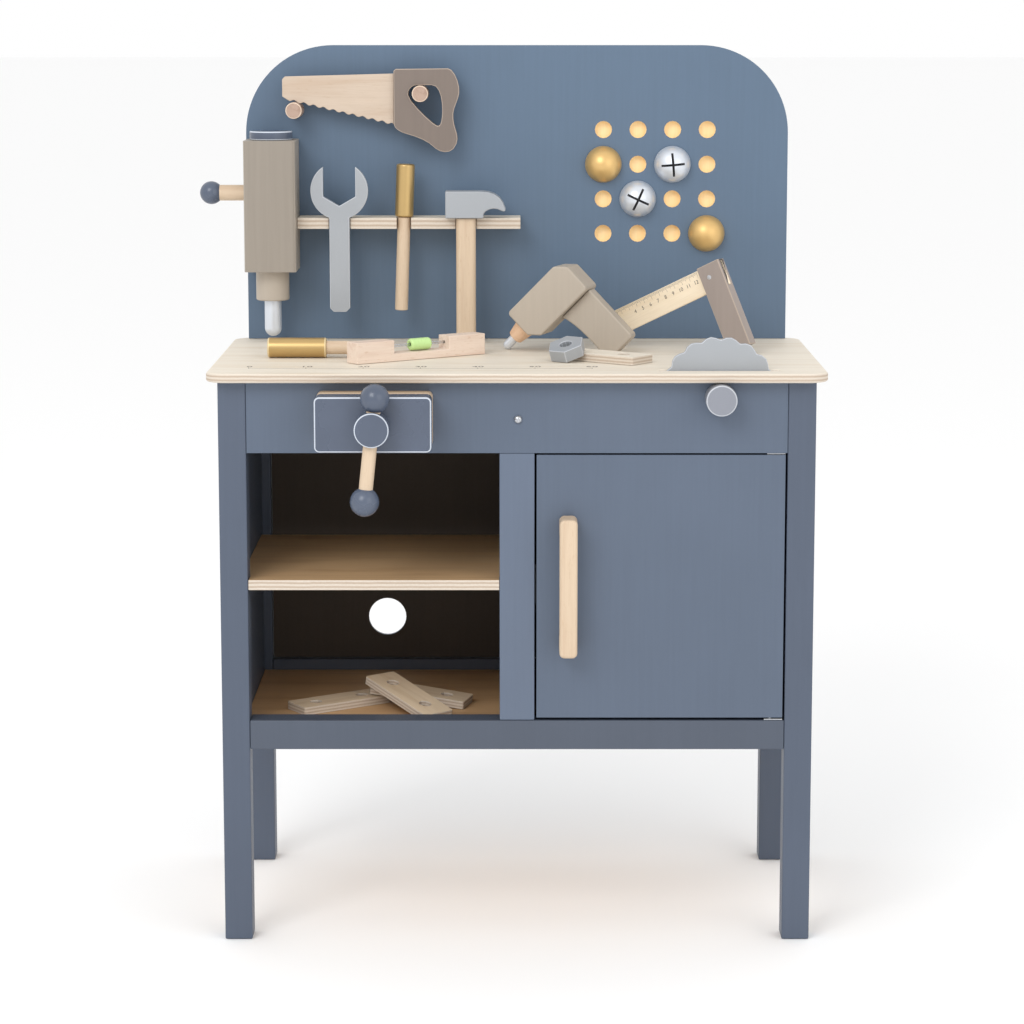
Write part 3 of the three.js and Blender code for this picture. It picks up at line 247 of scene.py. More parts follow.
def glossy_paint(name, colour, roughness=0.26):
    """Smooth lacquer, with a faint unevenness in its colour and shine."""
    paint = Finish(name)
    cloud = paint.noise((22, 22, 22), detail=4)
    shade = paint.clouded(cloud, colour, 0.08)
    paint.bump(cloud, depth=0.1, strength=0.2)
    return paint.surface(colour=shade, roughness=paint.spread(cloud, roughness - 0.03, roughness + 0.05))


def metallic_paint(name, colour, roughness=0.36, metal=0.55):
    """Paint with fine metal flake over wood."""
    paint = Finish(name)
    flake = paint.noise((2600, 2600, 2600), detail=1)
    cloud = paint.noise((14, 14, 14), detail=3)
    shade = paint.clouded(cloud, colour, 0.03)
    glint = paint.ramp(flake, [(0.35, (0.9, 0.9, 0.9, 1)), (0.7, WHITE)])
    paint.bump(flake, depth=0.03, strength=0.35)
    return paint.surface(
        colour=paint.mix(0.7, shade, glint, "MULTIPLY"),
        roughness=paint.spread(cloud, roughness - 0.05, roughness + 0.07),
        metal=metal,
    )


def bare_wood(name, light, dark, centre=(0, 0, 0), turn=UNTURNED, along="X", flecks=0.35, fine_share=0.4):
    """Lacquered wood whose grain runs along one axis of its piece."""
    wood = Finish(name, centre, turn)

    def stretched(lengthwise, across):
        return tuple(lengthwise if letter == along else across for letter in "XYZ")

    figure = wood.noise(stretched(5, 75), detail=5, distortion=0.6)
    fibre = wood.noise(stretched(45, 1100), detail=3)
    fleck = wood.noise(stretched(130, 620), detail=2)
    tone = wood.ramp(figure, [(0.32, dark), (0.5, tinted(light, 0.96)), (0.7, light)])
    fine = wood.ramp(fibre, [(0.3, (0.88, 0.85, 0.8, 1)), (0.62, WHITE)])
    spots = wood.ramp(fleck, [(0.6, WHITE), (0.72, (0.82, 0.72, 0.62, 1))])
    colour = wood.mix(flecks, wood.mix(fine_share, tone, fine, "MULTIPLY"), spots, "MULTIPLY")
    wood.bump(fibre, depth=0.1, strength=0.35)
    return wood.surface(colour=colour, roughness=wood.spread(figure, 0.48, 0.62))


def beech(name, centre, along, turn=UNTURNED):
    """The wood of the bench's handles, jaw and dowels."""
    return bare_wood(name, BEECH, BEECH_DARK, centre, turn, along)


def ply_edge(name, light, dark, thickness, centre, turn):
    """The cut edge of plywood: light and dark plies across its thickness."""
    wood = Finish(name, centre, turn)
    share = wood.math("ADD", wood.math("DIVIDE", wood.axis("Z"), thickness * MM), 0.5)
    waver = wood.spread(wood.noise((45, 45, 20)), -0.025, 0.025)
    plies = [
        (0.0, light),
        (0.18, light),
        (0.26, dark),
        (0.36, dark),
        (0.44, light),
        (0.58, light),
        (0.66, dark),
        (0.76, dark),
        (0.84, light),
        (1.0, light),
    ]
    tone = wood.ramp(wood.math("ADD", share, waver), plies)
    fibre = wood.noise((700, 700, 1500), detail=2)
    fine = wood.ramp(fibre, [(0.35, (0.84, 0.8, 0.74, 1)), (0.6, WHITE)])
    wood.bump(fibre, depth=0.12, strength=0.4)
    return wood.surface(colour=wood.mix(0.4, tone, fine, "MULTIPLY"), roughness=0.66)


def bare_steel(name):
    """Steel with fine brushing along its x axis."""
    metal = Finish(name)
    brushed = metal.noise((30, 900, 900), detail=2)
    metal.bump(brushed, depth=0.02, strength=0.3)
    return metal.surface(colour=STEEL_GREY, metal=0.95, roughness=metal.spread(brushed, 0.22, 0.36))


# The blue parts are one paint. The board and the divider post are painted lighter as painted light, and the
# legs and bottom rails darker as painted shade.
BOARD_BLUE_PAINTED_LIGHT = srgb(88, 108, 130)
FRAME_BLUE = srgb(86, 98, 116)
LEG_BLUE_PAINTED_SHADE = srgb(78, 88, 105)
RAIL_BLUE_PAINTED_SHADE = srgb(76, 84, 98)
POST_BLUE_PAINTED_LIGHT = srgb(95, 107, 126)
VISE_BLUE = srgb(82, 91, 108)
# A pale blue painted on rounded rims as a highlight, where the gloss catches the light.
BLUE_EDGE_HIGHLIGHT = srgb(196, 203, 214)
# A dark brown painted on the back panel's inner face as the shade inside the cabinet.
BACK_PANEL_PAINTED_SHADE = srgb(72, 62, 52)
BEIGE = srgb(174, 163, 149)
# The press housing is one beige paint, painted darker on its front as shade and lighter on its sides as
# light.
PRESS_FRONT_PAINTED_SHADE = srgb(147, 138, 127)
PRESS_SIDE_PAINTED_LIGHT = srgb(168, 159, 147)
TAUPE = srgb(120, 108, 100)
# A lighter taupe painted on rounded edges as a highlight.
TAUPE_EDGE_HIGHLIGHT = srgb(176, 160, 146)
STOCK_TAUPE = srgb(152, 140, 133)
GOLD = srgb(224, 186, 122)
DRIVER_GOLD = srgb(196, 166, 112)
# A paler gold painted on rounded rims as a highlight.
GOLD_EDGE_HIGHLIGHT = srgb(228, 206, 160)
SILVER = srgb(166, 170, 175)
# One silver paint: darker on the saw's knob as painted shade, and lighter on the bolts and bits as painted
# light.
KNOB_SILVER_PAINTED_SHADE = srgb(141, 144, 153)
BOLT_SILVER_PAINTED_LIGHT = srgb(218, 223, 230)
# A lighter silver painted on rounded edges as a highlight.
SILVER_EDGE_HIGHLIGHT = srgb(190, 194, 200)
BIRCH = srgb(230, 221, 206)
BIRCH_DARK = srgb(220, 207, 187)
STRIP_WOOD = srgb(226, 206, 178)
STRIP_WOOD_DARK = srgb(208, 184, 152)
RULE_WOOD = srgb(244, 228, 202)
RULE_WOOD_DARK = srgb(232, 212, 180)
SHELF_WOOD = srgb(204, 168, 126)
SHELF_WOOD_DARK = srgb(188, 150, 108)
EDGE_LIGHT = srgb(212, 201, 187)
EDGE_DARK = srgb(186, 168, 150)
BEECH = srgb(212, 190, 164)
BEECH_DARK = srgb(198, 172, 145)
CHUCK_BEECH = srgb(230, 194, 162)
CHUCK_BEECH_DARK = srgb(214, 174, 140)
PINK_BEECH = srgb(228, 209, 193)
PINK_BEECH_DARK = srgb(214, 188, 170)
SAW_WOOD = srgb(202, 184, 166)
SAW_WOOD_DARK = srgb(192, 171, 151)
PEG_WOOD = srgb(180, 154, 138)
PEG_WOOD_DARK = srgb(160, 132, 116)
PEG_RIM = srgb(226, 204, 184)
PEG_RIM_DARK = srgb(208, 184, 162)
SOCKET_WOOD = srgb(254, 230, 182)
SOCKET_WOOD_DARK = srgb(250, 220, 166)
SLOT_SHADOW = srgb(46, 46, 50)
CATCH_GREY = srgb(52, 55, 60)
STEEL_GREY = srgb(196, 198, 202)
BEAD_GREEN = srgb(192, 226, 150)
INK = srgb(84, 76, 70)

board_blue_painted_light = satin_paint("board_blue_with_painted_light", BOARD_BLUE_PAINTED_LIGHT)
frame_blue = satin_paint("frame_blue_paint", FRAME_BLUE)
post_blue_painted_light = satin_paint("post_blue_with_painted_light", POST_BLUE_PAINTED_LIGHT)
leg_blue_painted_shade = satin_paint("leg_blue_with_painted_shade", LEG_BLUE_PAINTED_SHADE)
rail_blue_painted_shade = satin_paint("rail_blue_with_painted_shade", RAIL_BLUE_PAINTED_SHADE)
vise_blue = glossy_paint("vise_blue_paint", VISE_BLUE)
blue_edge_highlight = glossy_paint("blue_painted_edge_highlight", BLUE_EDGE_HIGHLIGHT, 0.4)
back_panel_painted_shade = satin_paint("back_panel_painted_shade", BACK_PANEL_PAINTED_SHADE, 0.7, 0.8)
beige = satin_paint("beige_paint", BEIGE, 0.48, 0.5)
press_front_painted_shade = satin_paint("press_front_with_painted_shade", PRESS_FRONT_PAINTED_SHADE, 0.46, 0.8)
press_side_painted_light = satin_paint("press_side_with_painted_light", PRESS_SIDE_PAINTED_LIGHT, 0.46, 0.8)
taupe = satin_paint("taupe_paint", TAUPE, 0.48, 0.7)
taupe_edge_highlight = satin_paint("taupe_painted_edge_highlight", TAUPE_EDGE_HIGHLIGHT, 0.5, 0.5)
stock_taupe = satin_paint("stock_taupe_paint", STOCK_TAUPE, 0.42, 0.6)
gold = metallic_paint("gold_paint", GOLD, 0.38, 0.55)
driver_gold = metallic_paint("driver_gold_paint", DRIVER_GOLD, 0.32, 0.75)
gold_edge_highlight = metallic_paint("gold_painted_edge_highlight", GOLD_EDGE_HIGHLIGHT, 0.4, 0.3)
silver = metallic_paint("silver_paint", SILVER, 0.42, 0.3)
knob_silver_painted_shade = metallic_paint("knob_silver_with_painted_shade", KNOB_SILVER_PAINTED_SHADE, 0.42, 0.3)
bolt_silver_painted_light = metallic_paint("bolt_silver_with_painted_light", BOLT_SILVER_PAINTED_LIGHT, 0.34, 0.45)
silver_edge_highlight = metallic_paint("silver_painted_edge_highlight", SILVER_EDGE_HIGHLIGHT, 0.4, 0.2)
slot_shadow = satin_paint("slot_shadow", SLOT_SHADOW, 0.8)
catch_grey = satin_paint("catch_grey", CATCH_GREY, 0.5)
steel = bare_steel("steel")
socket_wood = bare_wood("socket_wood", SOCKET_WOOD, SOCKET_WOOD_DARK, along="Z", flecks=0.1)


# ---- Shapes ----
def add_piece(name, form, finishes, body, nodes=()):
    """Makes an object of a bmesh and fixes it to a body."""
    mesh = bpy.data.meshes.new(name)
    form.to_mesh(mesh)
    form.free()
    for finish in finishes:
        mesh.materials.append(finish)
    mesh.shade_smooth()
    mesh.set_sharp_from_angle(angle=CREASED_ABOVE)
    thing = bpy.data.objects.new(name, mesh)
    bpy.context.scene.collection.objects.link(thing)
    weighted = thing.modifiers.new("even_faces", "WEIGHTED_NORMAL")
    weighted.keep_sharp = True
    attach(thing, body)
    if nodes:
        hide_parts(*nodes)
    return thing


def is_sharp(edge):
    return len(edge.link_faces) == 2 and edge.calc_face_angle() > ROUNDED_ABOVE


def round_edges(form, edges, width, segments=3, clamp=True):
    """Rounds the given edges, and returns the new faces."""
    made = bmesh.ops.bevel(
        form,
        geom=edges,
        offset=width * MM,
        offset_type="OFFSET",
        segments=segments,
        profile=0.5,
        affect="EDGES",
        clamp_overlap=clamp,
        material=-1,
    )
    return made["faces"]


def round_sharp_edges(form, width, segments=3):
    return round_edges(form, [edge for edge in form.edges if is_sharp(edge)], width, segments)


def merged_copy(node):
    """A CAD piece without doubled corners or edges inside its flat faces."""
    form = bmesh.new()
    form.from_mesh(frame["nodes"][node].data)
    bmesh.ops.remove_doubles(form, verts=form.verts, dist=MERGE_GAP * MM)
    bmesh.ops.dissolve_limit(form, angle_limit=FLAT_BELOW, verts=form.verts, edges=form.edges)
    return form


def softened(node, finishes, width=1.0, segments=3, highlight_edges=False, choose=None):
    """A CAD piece with its edges rounded. If asked, the rounded edges take the second finish, a lighter
    colour painted as a highlight.

    choose gives the number of a face's finish from its normal and centre.
    """
    form = merged_copy(node)
    rounded = round_sharp_edges(form, width, segments)
    if highlight_edges:
        for face in rounded:
            face.material_index = 1
    if choose:
        for face in form.faces:
            face.material_index = choose(face.normal, face.calc_center_median())
    return add_piece(f"{node}_finished", form, finishes, frame["nodes"][node]["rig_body"], [node])


def axis_matrix(start, direction):
    """Carries the z axis to a line that starts at a point."""
    return Matrix.Translation(start) @ direction.to_track_quat("Z", "Y").to_matrix().to_4x4()


def rod(length, radius, start=0):
    """The profile of a plain round rod, from its start to its length."""
    return [(start, 0), (start, radius), (length, radius), (length, 0)]


def lathed(profile, start, direction, width=0.0, sides=TURNED_SIDES, rim_finish=0):
    """A form turned on a lathe. The profile lists (height, radius) in millimetres from its start."""
    form = bmesh.new()
    rim = [form.verts.new((radius * MM, 0, height * MM)) for height, radius in profile]
    line = [form.edges.new(pair) for pair in zip(rim, rim[1:])]
    bmesh.ops.spin(
        form,
        geom=rim + line,
        cent=(0, 0, 0),
        axis=UP,
        angle=2 * math.pi,
        steps=sides,
        use_merge=True,
    )
    bmesh.ops.remove_doubles(form, verts=form.verts, dist=TURNED_MERGE_GAP * MM)
    bmesh.ops.recalc_face_normals(form, faces=form.faces)
    if width:
        for face in round_sharp_edges(form, width):
            face.material_index = rim_finish
    bmesh.ops.transform(form, matrix=axis_matrix(start, direction), verts=form.verts)
    return form


def loose_object(name, form, finishes):
    """An object of a form, for a cut, which frees the form."""
    mesh = bpy.data.meshes.new(name)
    form.to_mesh(mesh)
    form.free()
    for finish in finishes:
        mesh.materials.append(finish)
    thing = bpy.data.objects.new(name, mesh)
    bpy.context.scene.collection.objects.link(thing)
    return thing


def cut(form, cutter, finishes):
    """What is left of a form when another is cut from it, in triangles. It frees both."""
    thing = loose_object("blank", form, finishes)
    tool = loose_object("cutter", cutter, finishes)
    change = thing.modifiers.new("cut", "BOOLEAN")
    change.object = tool
    change.operation = "DIFFERENCE"
    change.solver = "EXACT"
    change.use_self = True
    bpy.context.view_layer.update()
    left = bpy.data.meshes.new_from_object(thing.evaluated_get(bpy.context.evaluated_depsgraph_get()))
    result = bmesh.new()
    result.from_mesh(left)
    bmesh.ops.triangulate(result, faces=result.faces)
    for spare in (thing, tool):
        bpy.data.objects.remove(spare)
    bpy.data.meshes.remove(left)
    return result


def turned(
    name, profile, start, direction, finishes, body, nodes=(), width=0.0, sides=TURNED_SIDES
):
    """A turned piece. Its rounded rims take the last of its finishes."""
    form = lathed(profile, start, direction, width, sides, len(finishes) - 1)
    return add_piece(name, form, finishes, body, nodes)


def arc(centre, radius, start, end, steps=12):
    """(height, radius) points round an arc whose centre is on the axis. 90 degrees is the top."""
    turns = [math.radians(start + (end - start) * step / steps) for step in range(steps + 1)]
    points = [(centre + radius * math.sin(turn), radius * math.cos(turn)) for turn in turns]
    return [(height, max(0.0, across)) for height, across in points]


def plywood(node, width, segments=2, turn=UNTURNED, thickness=None, woods=(BIRCH, BIRCH_DARK)):
    """A CAD piece of plywood, with its plies showing on every face but the top and bottom."""
    place = middle(node)
    if thickness is None:
        thickness = extent(node, TALL)
    face = bare_wood(f"{node}_ply", *woods, place, turn, flecks=0.1, fine_share=0.3)
    edge = ply_edge(f"{node}_ply_edge", EDGE_LIGHT, EDGE_DARK, thickness, place, turn)
    upward = Euler(turn).to_matrix() @ UP

    def choose(normal, _centre):
        return 0 if abs(normal.dot(upward)) > 0.6 else 1

    softened(node, [face, edge], width, segments, choose=choose)


def inward(normal, _centre):
    """1 for the back panel's inner face, which looks into the cabinet and is painted dark as painted shade.
    """
    return 1 if normal.y < -0.5 else 0


def side_of_press(normal, _centre):
    """0 for the front of the drill press, which takes painted shade, 1 for its other faces, which take
    painted light.
    """
    return 0 if normal.y < -0.7 else 1


# ---- Cabinet ----
# Legs and bottom rails take a darker blue as painted shade, and the divider post a lighter blue as painted
# light.
for leg in ("front_leg_left", "front_leg_right", "rear_leg_left", "rear_leg_right"):
    softened(leg, [leg_blue_painted_shade], width=1.3)
for rail in ("bottom_rail_front", "bottom_rail_rear"):
    softened(rail, [rail_blue_painted_shade], width=0.9)
for panel in ("apron", "door"):
    softened(panel, [frame_blue], width=0.9)
softened("divider_post", [post_blue_painted_light], width=0.9)
for panel in ("side_panel_left", "side_panel_right", "divider_panel"):
    softened(panel, [frame_blue], width=0.5, segments=2)
softened("back_panel", [frame_blue, back_panel_painted_shade], width=0.5, segments=2, choose=inward)
for board in ("floor_panel", "shelf"):
    plywood(board, width=0.5, woods=(SHELF_WOOD, SHELF_WOOD_DARK))
for fitting in ("door_pivot_upper", "door_pivot_lower"):
    softened(fitting, [steel], width=0.25, segments=2)
softened("door_catch", [catch_grey], width=0.25, segments=2)
handle_wood = beech("door_handle_wood", middle("door_handle"), "Z")
softened("door_handle", [handle_wood], width=3.0, segments=4)

# ---- Worktop ----
plywood("worktop", width=2.2, segments=4)

# ---- Backboard ----
board_low, board_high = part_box("backboard")
SOCKET_FIRST = (90.9, 677.9)
SOCKET_PITCH = 36.4
SOCKET_RADIUS = 9.0
SOCKETS_EACH_WAY = 4
SOCKET_SLACK = 0.1  # a wall's face may be this far outside the socket's radius
BOARD_FRONT_SKIN = 0.5
BOARD_BACK_SKIN = 1.0


def socket_centres():
    for row in range(SOCKETS_EACH_WAY):
        for column in range(SOCKETS_EACH_WAY):
            x = SOCKET_FIRST[0] + column * SOCKET_PITCH
            z = SOCKET_FIRST[1] + row * SOCKET_PITCH
            yield on_bench(x, 0, z)


def in_socket(_normal, centre):
    """1 for the bare wood inside a socket, 0 for the painted board."""
    behind_front = centre.y > board_low.y + BOARD_FRONT_SKIN * MM
    before_back = centre.y < board_high.y - BOARD_BACK_SKIN * MM
    reach = (SOCKET_RADIUS + SOCKET_SLACK) * MM
    near = any((centre - hole).xz.length < reach for hole in socket_centres())
    return 1 if behind_front and near and before_back else 0


# The board's blue is lighter than the frame's blue: painted light.
softened("backboard", [board_blue_painted_light, socket_wood], width=0.5, segments=2, choose=in_socket)

# ---- Rack, wrench and saw ----
plywood("tool_rack", width=0.6)
softened("wrench", [silver, silver_edge_highlight], width=0.8, highlight_edges=True)
softened("hand_saw_handle", [taupe, taupe_edge_highlight], width=1.8, highlight_edges=True)
blade_wood = bare_wood("saw_blade_wood", SAW_WOOD, SAW_WOOD_DARK, middle("hand_saw_blade"), flecks=0.25)
softened("hand_saw_blade", [blade_wood], width=0.5, segments=2)
for peg in ("saw_peg_left", "saw_peg_right"):
    peg_wood = bare_wood(f"{peg}_wood", PEG_WOOD, PEG_WOOD_DARK, middle(peg), along="Y", flecks=0.5)
    peg_rim = bare_wood(f"{peg}_rim", PEG_RIM, PEG_RIM_DARK, middle(peg), along="Y")
    profile = rod(extent(peg, DEEP), extent(peg, WIDE) / 2)
    turned(f"{peg}_turned", profile, back_of(peg), FRONT, [peg_wood, peg_rim], "bench", [peg], width=1.0)

# ---- Circular saw ----
softened("circular_saw_blade", [silver, silver_edge_highlight], width=0.7, segments=2, highlight_edges=True)
KNOB_LENGTH = 25.0
KNOB_RADIUS = 15.0
AXLE_RADIUS = 5.0
knob_total = extent("circular_saw_knob", DEEP)
axle_length = knob_total - KNOB_LENGTH
# The knob's rounded rims take the lighter silver painted highlight.
turned(
    "circular_saw_knob_turned",
    [
        (0, 0),
        (0, AXLE_RADIUS),
        (axle_length, AXLE_RADIUS),
        (axle_length, KNOB_RADIUS),
        (knob_total, KNOB_RADIUS),
        (knob_total, 0),
    ],
    back_of("circular_saw_knob"),
    FRONT,
    [knob_silver_painted_shade, silver_edge_highlight],
    "circular_saw",
    ["circular_saw_knob"],
    width=1.2,
)

# ---- Small screw on the apron ----
# Shares of its height and radius, from the middle of its base to the middle of its recess.
SCREW_SHARES = [(0, 0), (0, 1), (0.45, 0.94), (0.8, 0.68), (1, 0.4), (0.55, 0.32), (0.55, 0)]
screw_radius = extent("apron_screw", WIDE) / 2
screw_height = extent("apron_screw", DEEP)
turned(
    "apron_screw_turned",
    [(screw_height * rise, screw_radius * reach) for rise, reach in SCREW_SHARES],
    back_of("apron_screw"),
    FRONT,
    [steel],
    "bench",
    ["apron_screw"],
)

# ---- Domed bolts ----
BOLT_RADIUS = 19.2
BOLT_SKIRT = 0.4
SKIRT_CHAMFER = 0.8
DOME_INSET = 0.4
SHANK_RADIUS = 8.6
SLOT_WIDTH = 2.4
SLOT_LENGTH = 26.5
SLOT_FLOOR = 14.6  # height above the middle of the dome
SLOT_CUTTER_HEIGHT = 10
SLOT_FACE_DEPTH = 0.75  # a face at least this far under the dome belongs to a slot,
SLOT_FACE_RISE = 2  # if it is also this far in front of the dome's middle


def shank_of(bolt):
    """The length of a bolt behind its dome."""
    return extent(bolt, DEEP) - BOLT_RADIUS - BOLT_SKIRT


def bolt_profile(shank):
    """A round shank with a dome on its front end."""
    profile = [(0, 0), (0, SHANK_RADIUS), (shank, SHANK_RADIUS)]
    profile += [(shank, BOLT_RADIUS - SKIRT_CHAMFER), (shank + SKIRT_CHAMFER, BOLT_RADIUS)]
    profile += arc(shank + BOLT_SKIRT + DOME_INSET, BOLT_RADIUS - DOME_INSET, start=4, end=90, steps=20)
    profile[-1] = (profile[-1][0], 0.0)
    return profile


def slot_cutter(centre, turn):
    """Two crossed bars that cut the slots of a bolt, with flat floors."""
    form = bmesh.new()
    for quarter in (0, math.pi / 2):
        bar = bmesh.ops.create_cube(form, size=1.0)["verts"]
        size = Matrix.Diagonal((SLOT_LENGTH * MM, SLOT_CUTTER_HEIGHT * MM, SLOT_WIDTH * MM, 1))
        place = Matrix.Translation(centre - Vector((0, (SLOT_FLOOR + SLOT_CUTTER_HEIGHT / 2) * MM, 0)))
        bmesh.ops.transform(form, matrix=place @ Matrix.Rotation(quarter - turn, 4, "Y") @ size, verts=bar)
    return form


def slotted_bolt(bolt, turn):
    """A domed bolt whose cross is turned so far anticlockwise, as seen from the front."""
    shank = shank_of(bolt)
    centre = back_of(bolt) + FRONT * (shank + BOLT_SKIRT) * MM
    finishes = [bolt_silver_painted_light, slot_shadow]
    form = cut(lathed(bolt_profile(shank), back_of(bolt), FRONT), slot_cutter(centre, turn), finishes)
    for face in form.faces:
        reach = face.calc_center_median() - centre
        under_dome = reach.length < (BOLT_RADIUS - SLOT_FACE_DEPTH) * MM
        face.material_index = 1 if under_dome and reach.y < -SLOT_FACE_RISE * MM else 0
    add_piece(f"{bolt}_cut", form, finishes, bolt, [bolt])


for bolt in ("gold_bolt_left", "gold_bolt_right"):
    turned(f"{bolt}_turned", bolt_profile(shank_of(bolt)), back_of(bolt), FRONT, [gold], bolt, [bolt])
for bolt, degrees in (("slotted_bolt_upper", 5), ("slotted_bolt_lower", -25)):
    slotted_bolt(bolt, math.radians(degrees))

# ---- Hanging screwdriver and hammer ----
softened("screwdriver_grip", [driver_gold], width=2.0)
shaft_wood = beech("driver_shaft_wood", middle("screwdriver_shaft"), "Z")
softened("screwdriver_shaft", [shaft_wood], width=1.2)
softened("hammer_head", [silver], width=1.0)
hammer_wood = beech("hammer_handle_wood", middle("hammer_handle"), "Z")
softened("hammer_handle", [hammer_wood], width=1.0)

# ---- Drill press ----
softened("press_housing", [press_front_painted_shade, press_side_painted_light], width=1.6, choose=side_of_press)
QUILL_RADIUS = 17.3
PRESS_BIT_RADIUS = 8.8
PRESS_BIT_LENGTH = 38.2
PRESS_BIT_GAP = 0.05  # between the quill's end and the bit's
quill_middle = middle("press_spindle")
quill_top = Vector((quill_middle.x, quill_middle.y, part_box("press_spindle")[1].z))
quill_length = extent("press_spindle", TALL) - PRESS_BIT_LENGTH
turned(
    "press_spindle_turned",
    rod(quill_length, QUILL_RADIUS),
    quill_top,
    -UP,
    [beige],
    "press_quill",
    ["press_spindle"],
    width=1.8,
)
bit_start = quill_top - UP * quill_length * MM
bit_round = PRESS_BIT_LENGTH - PRESS_BIT_RADIUS
bit_profile = [(PRESS_BIT_GAP, 0), (PRESS_BIT_GAP, PRESS_BIT_RADIUS), (bit_round, PRESS_BIT_RADIUS)]
bit_profile += arc(bit_round, PRESS_BIT_RADIUS, start=5, end=90, steps=14)
turned("press_bit_turned", bit_profile, bit_start, -UP, [bolt_silver_painted_light], "press_quill")

# The cap's rounded rims take the pale blue painted highlight.
cap_middle = middle("press_cap")
turned(
    "press_cap_turned",
    rod(extent("press_cap", TALL), extent("press_cap", WIDE) / 2),
    Vector((cap_middle.x, cap_middle.y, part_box("press_cap")[0].z)),
    UP,
    [vise_blue, blue_edge_highlight],
    "press_quill",
    ["press_cap"],
    width=1.2,
)

LEVER_BALL_RADIUS = 12.0
LEVER_RADIUS = 8.2
LEVER_SHORT = 2  # the lever ends this far before the middle of its ball
lever_middle = middle("press_lever")
lever_start = Vector((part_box("press_lever")[1].x, lever_middle.y, lever_middle.z))
lever_length = extent("press_lever", WIDE) - LEVER_BALL_RADIUS
lever_wood = beech("press_lever_wood", lever_middle, "X")
turned(
    "press_lever_turned",
    rod(lever_length - LEVER_SHORT, LEVER_RADIUS),
    lever_start,
    LEFT,
    [lever_wood],
    "press_quill",
    ["press_lever"],
    width=0.8,
)
turned(
    "press_lever_ball",
    arc(0, LEVER_BALL_RADIUS, start=-90, end=90, steps=BALL_STEPS),
    lever_start - Vector((lever_length * MM, 0, 0)),
    LEFT,
    [vise_blue],
    "press_quill",
)

# ---- Vise ----
fixed_jaw_wood = beech("fixed_jaw_wood", middle("vise_fixed_jaw"), "X")
softened("vise_fixed_jaw", [fixed_jaw_wood], width=1.0)

# The moving jaw's front rim is rounded and painted pale blue as a highlight.
JAW_RIM_WIDTH = 1.3
JAW_RIM_REACH = 20  # the rim's edges are further than this from the jaw's middle
JAW_FRONT_SKIN = 0.1
jaw_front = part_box("vise_moving_jaw")[0].y
jaw_middle = middle("vise_moving_jaw")
jaw_form = merged_copy("vise_moving_jaw")
jaw_rim = []
for edge in jaw_form.edges:
    at_front = all(vertex.co.y < jaw_front + JAW_FRONT_SKIN * MM for vertex in edge.verts)
    reach = (edge.verts[0].co - jaw_middle).xz.length
    if at_front and reach > JAW_RIM_REACH * MM and is_sharp(edge):
        jaw_rim.append(edge)
for face in round_edges(jaw_form, jaw_rim, JAW_RIM_WIDTH, clamp=False):
    face.material_index = 1
add_piece("vise_moving_jaw_finished", jaw_form, [vise_blue, blue_edge_highlight], "vise_jaw", ["vise_moving_jaw"])

HUB_RADIUS = 16.5
HUB_LENGTH = 28.0
SCREW_RADIUS = 6.0
BAR_RADIUS = 6.7
BAR_BALL_RADIUS = 14.0
BAR_LENGTH = 99.0
BAR_TILT = math.radians(6)
hub_middle = middle("vise_screw")
hub_total = extent("vise_screw", DEEP)
screw_length = hub_total - HUB_LENGTH
hub_profile = [
    (0, 0),
    (0, SCREW_RADIUS),
    (screw_length, SCREW_RADIUS),
    (screw_length, HUB_RADIUS),
    (hub_total, HUB_RADIUS),
    (hub_total, 0),
]
hub = lathed(hub_profile, back_of("vise_screw"), FRONT, width=1.1, rim_finish=1)
bar_direction = Vector((math.sin(BAR_TILT), 0, math.cos(BAR_TILT)))
bar_middle = middle("vise_bar")
half_bar = bar_direction * (BAR_LENGTH / 2) * MM
bar_start = bar_middle - half_bar
bore_start = Vector((hub_middle.x, bar_middle.y, hub_middle.z)) - half_bar
bore = lathed(rod(BAR_LENGTH, BAR_RADIUS + CLEAR), bore_start, bar_direction)
# The hub's rounded rims take the pale blue painted highlight.
hub_finishes = [vise_blue, blue_edge_highlight]
add_piece("vise_screw_bored", cut(hub, bore, hub_finishes), hub_finishes, "vise_screw", ["vise_screw"])
bar_wood = beech("vise_bar_wood", bar_middle, "Z", (0, BAR_TILT, 0))
bar_profile = rod(BAR_LENGTH, BAR_RADIUS)
turned("vise_bar_turned", bar_profile, bar_start, bar_direction, [bar_wood], "vise_bar", ["vise_bar"])
for end, distance in (("lower", 0.0), ("upper", BAR_LENGTH)):
    turned(
        f"vise_bar_ball_{end}",
        arc(0, BAR_BALL_RADIUS, start=-90, end=90, steps=BALL_STEPS),
        bar_start + bar_direction * distance * MM,
        bar_direction,
        [vise_blue],
        "vise_bar",
    )

# ---- Loose screwdriver ----
LOOSE_GRIP_LENGTH = 59.0
LOOSE_GRIP_RADIUS = 10.0
LOOSE_SHAFT_RADIUS = 6.75
LOOSE_SHAFT_SUNK = 2  # how far the shaft starts inside the grip
loose_middle = middle("loose_screwdriver")
loose_start = Vector((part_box("loose_screwdriver")[0].x, loose_middle.y, loose_middle.z))
# The grip's rounded rims take a paler gold as a painted highlight.
turned(
    "loose_screwdriver_grip",
    rod(LOOSE_GRIP_LENGTH, LOOSE_GRIP_RADIUS),
    loose_start,
    RIGHT,
    [driver_gold, gold_edge_highlight],
    "loose_screwdriver",
    ["loose_screwdriver"],
    width=1.8,
)
loose_wood = beech("loose_shaft_wood", loose_middle, "X")
turned(
    "loose_screwdriver_shaft",
    rod(extent("loose_screwdriver", WIDE), LOOSE_SHAFT_RADIUS, LOOSE_GRIP_LENGTH - LOOSE_SHAFT_SUNK),
    loose_start,
    RIGHT,
    [loose_wood],
    "loose_screwdriver",
    width=1.2,
)

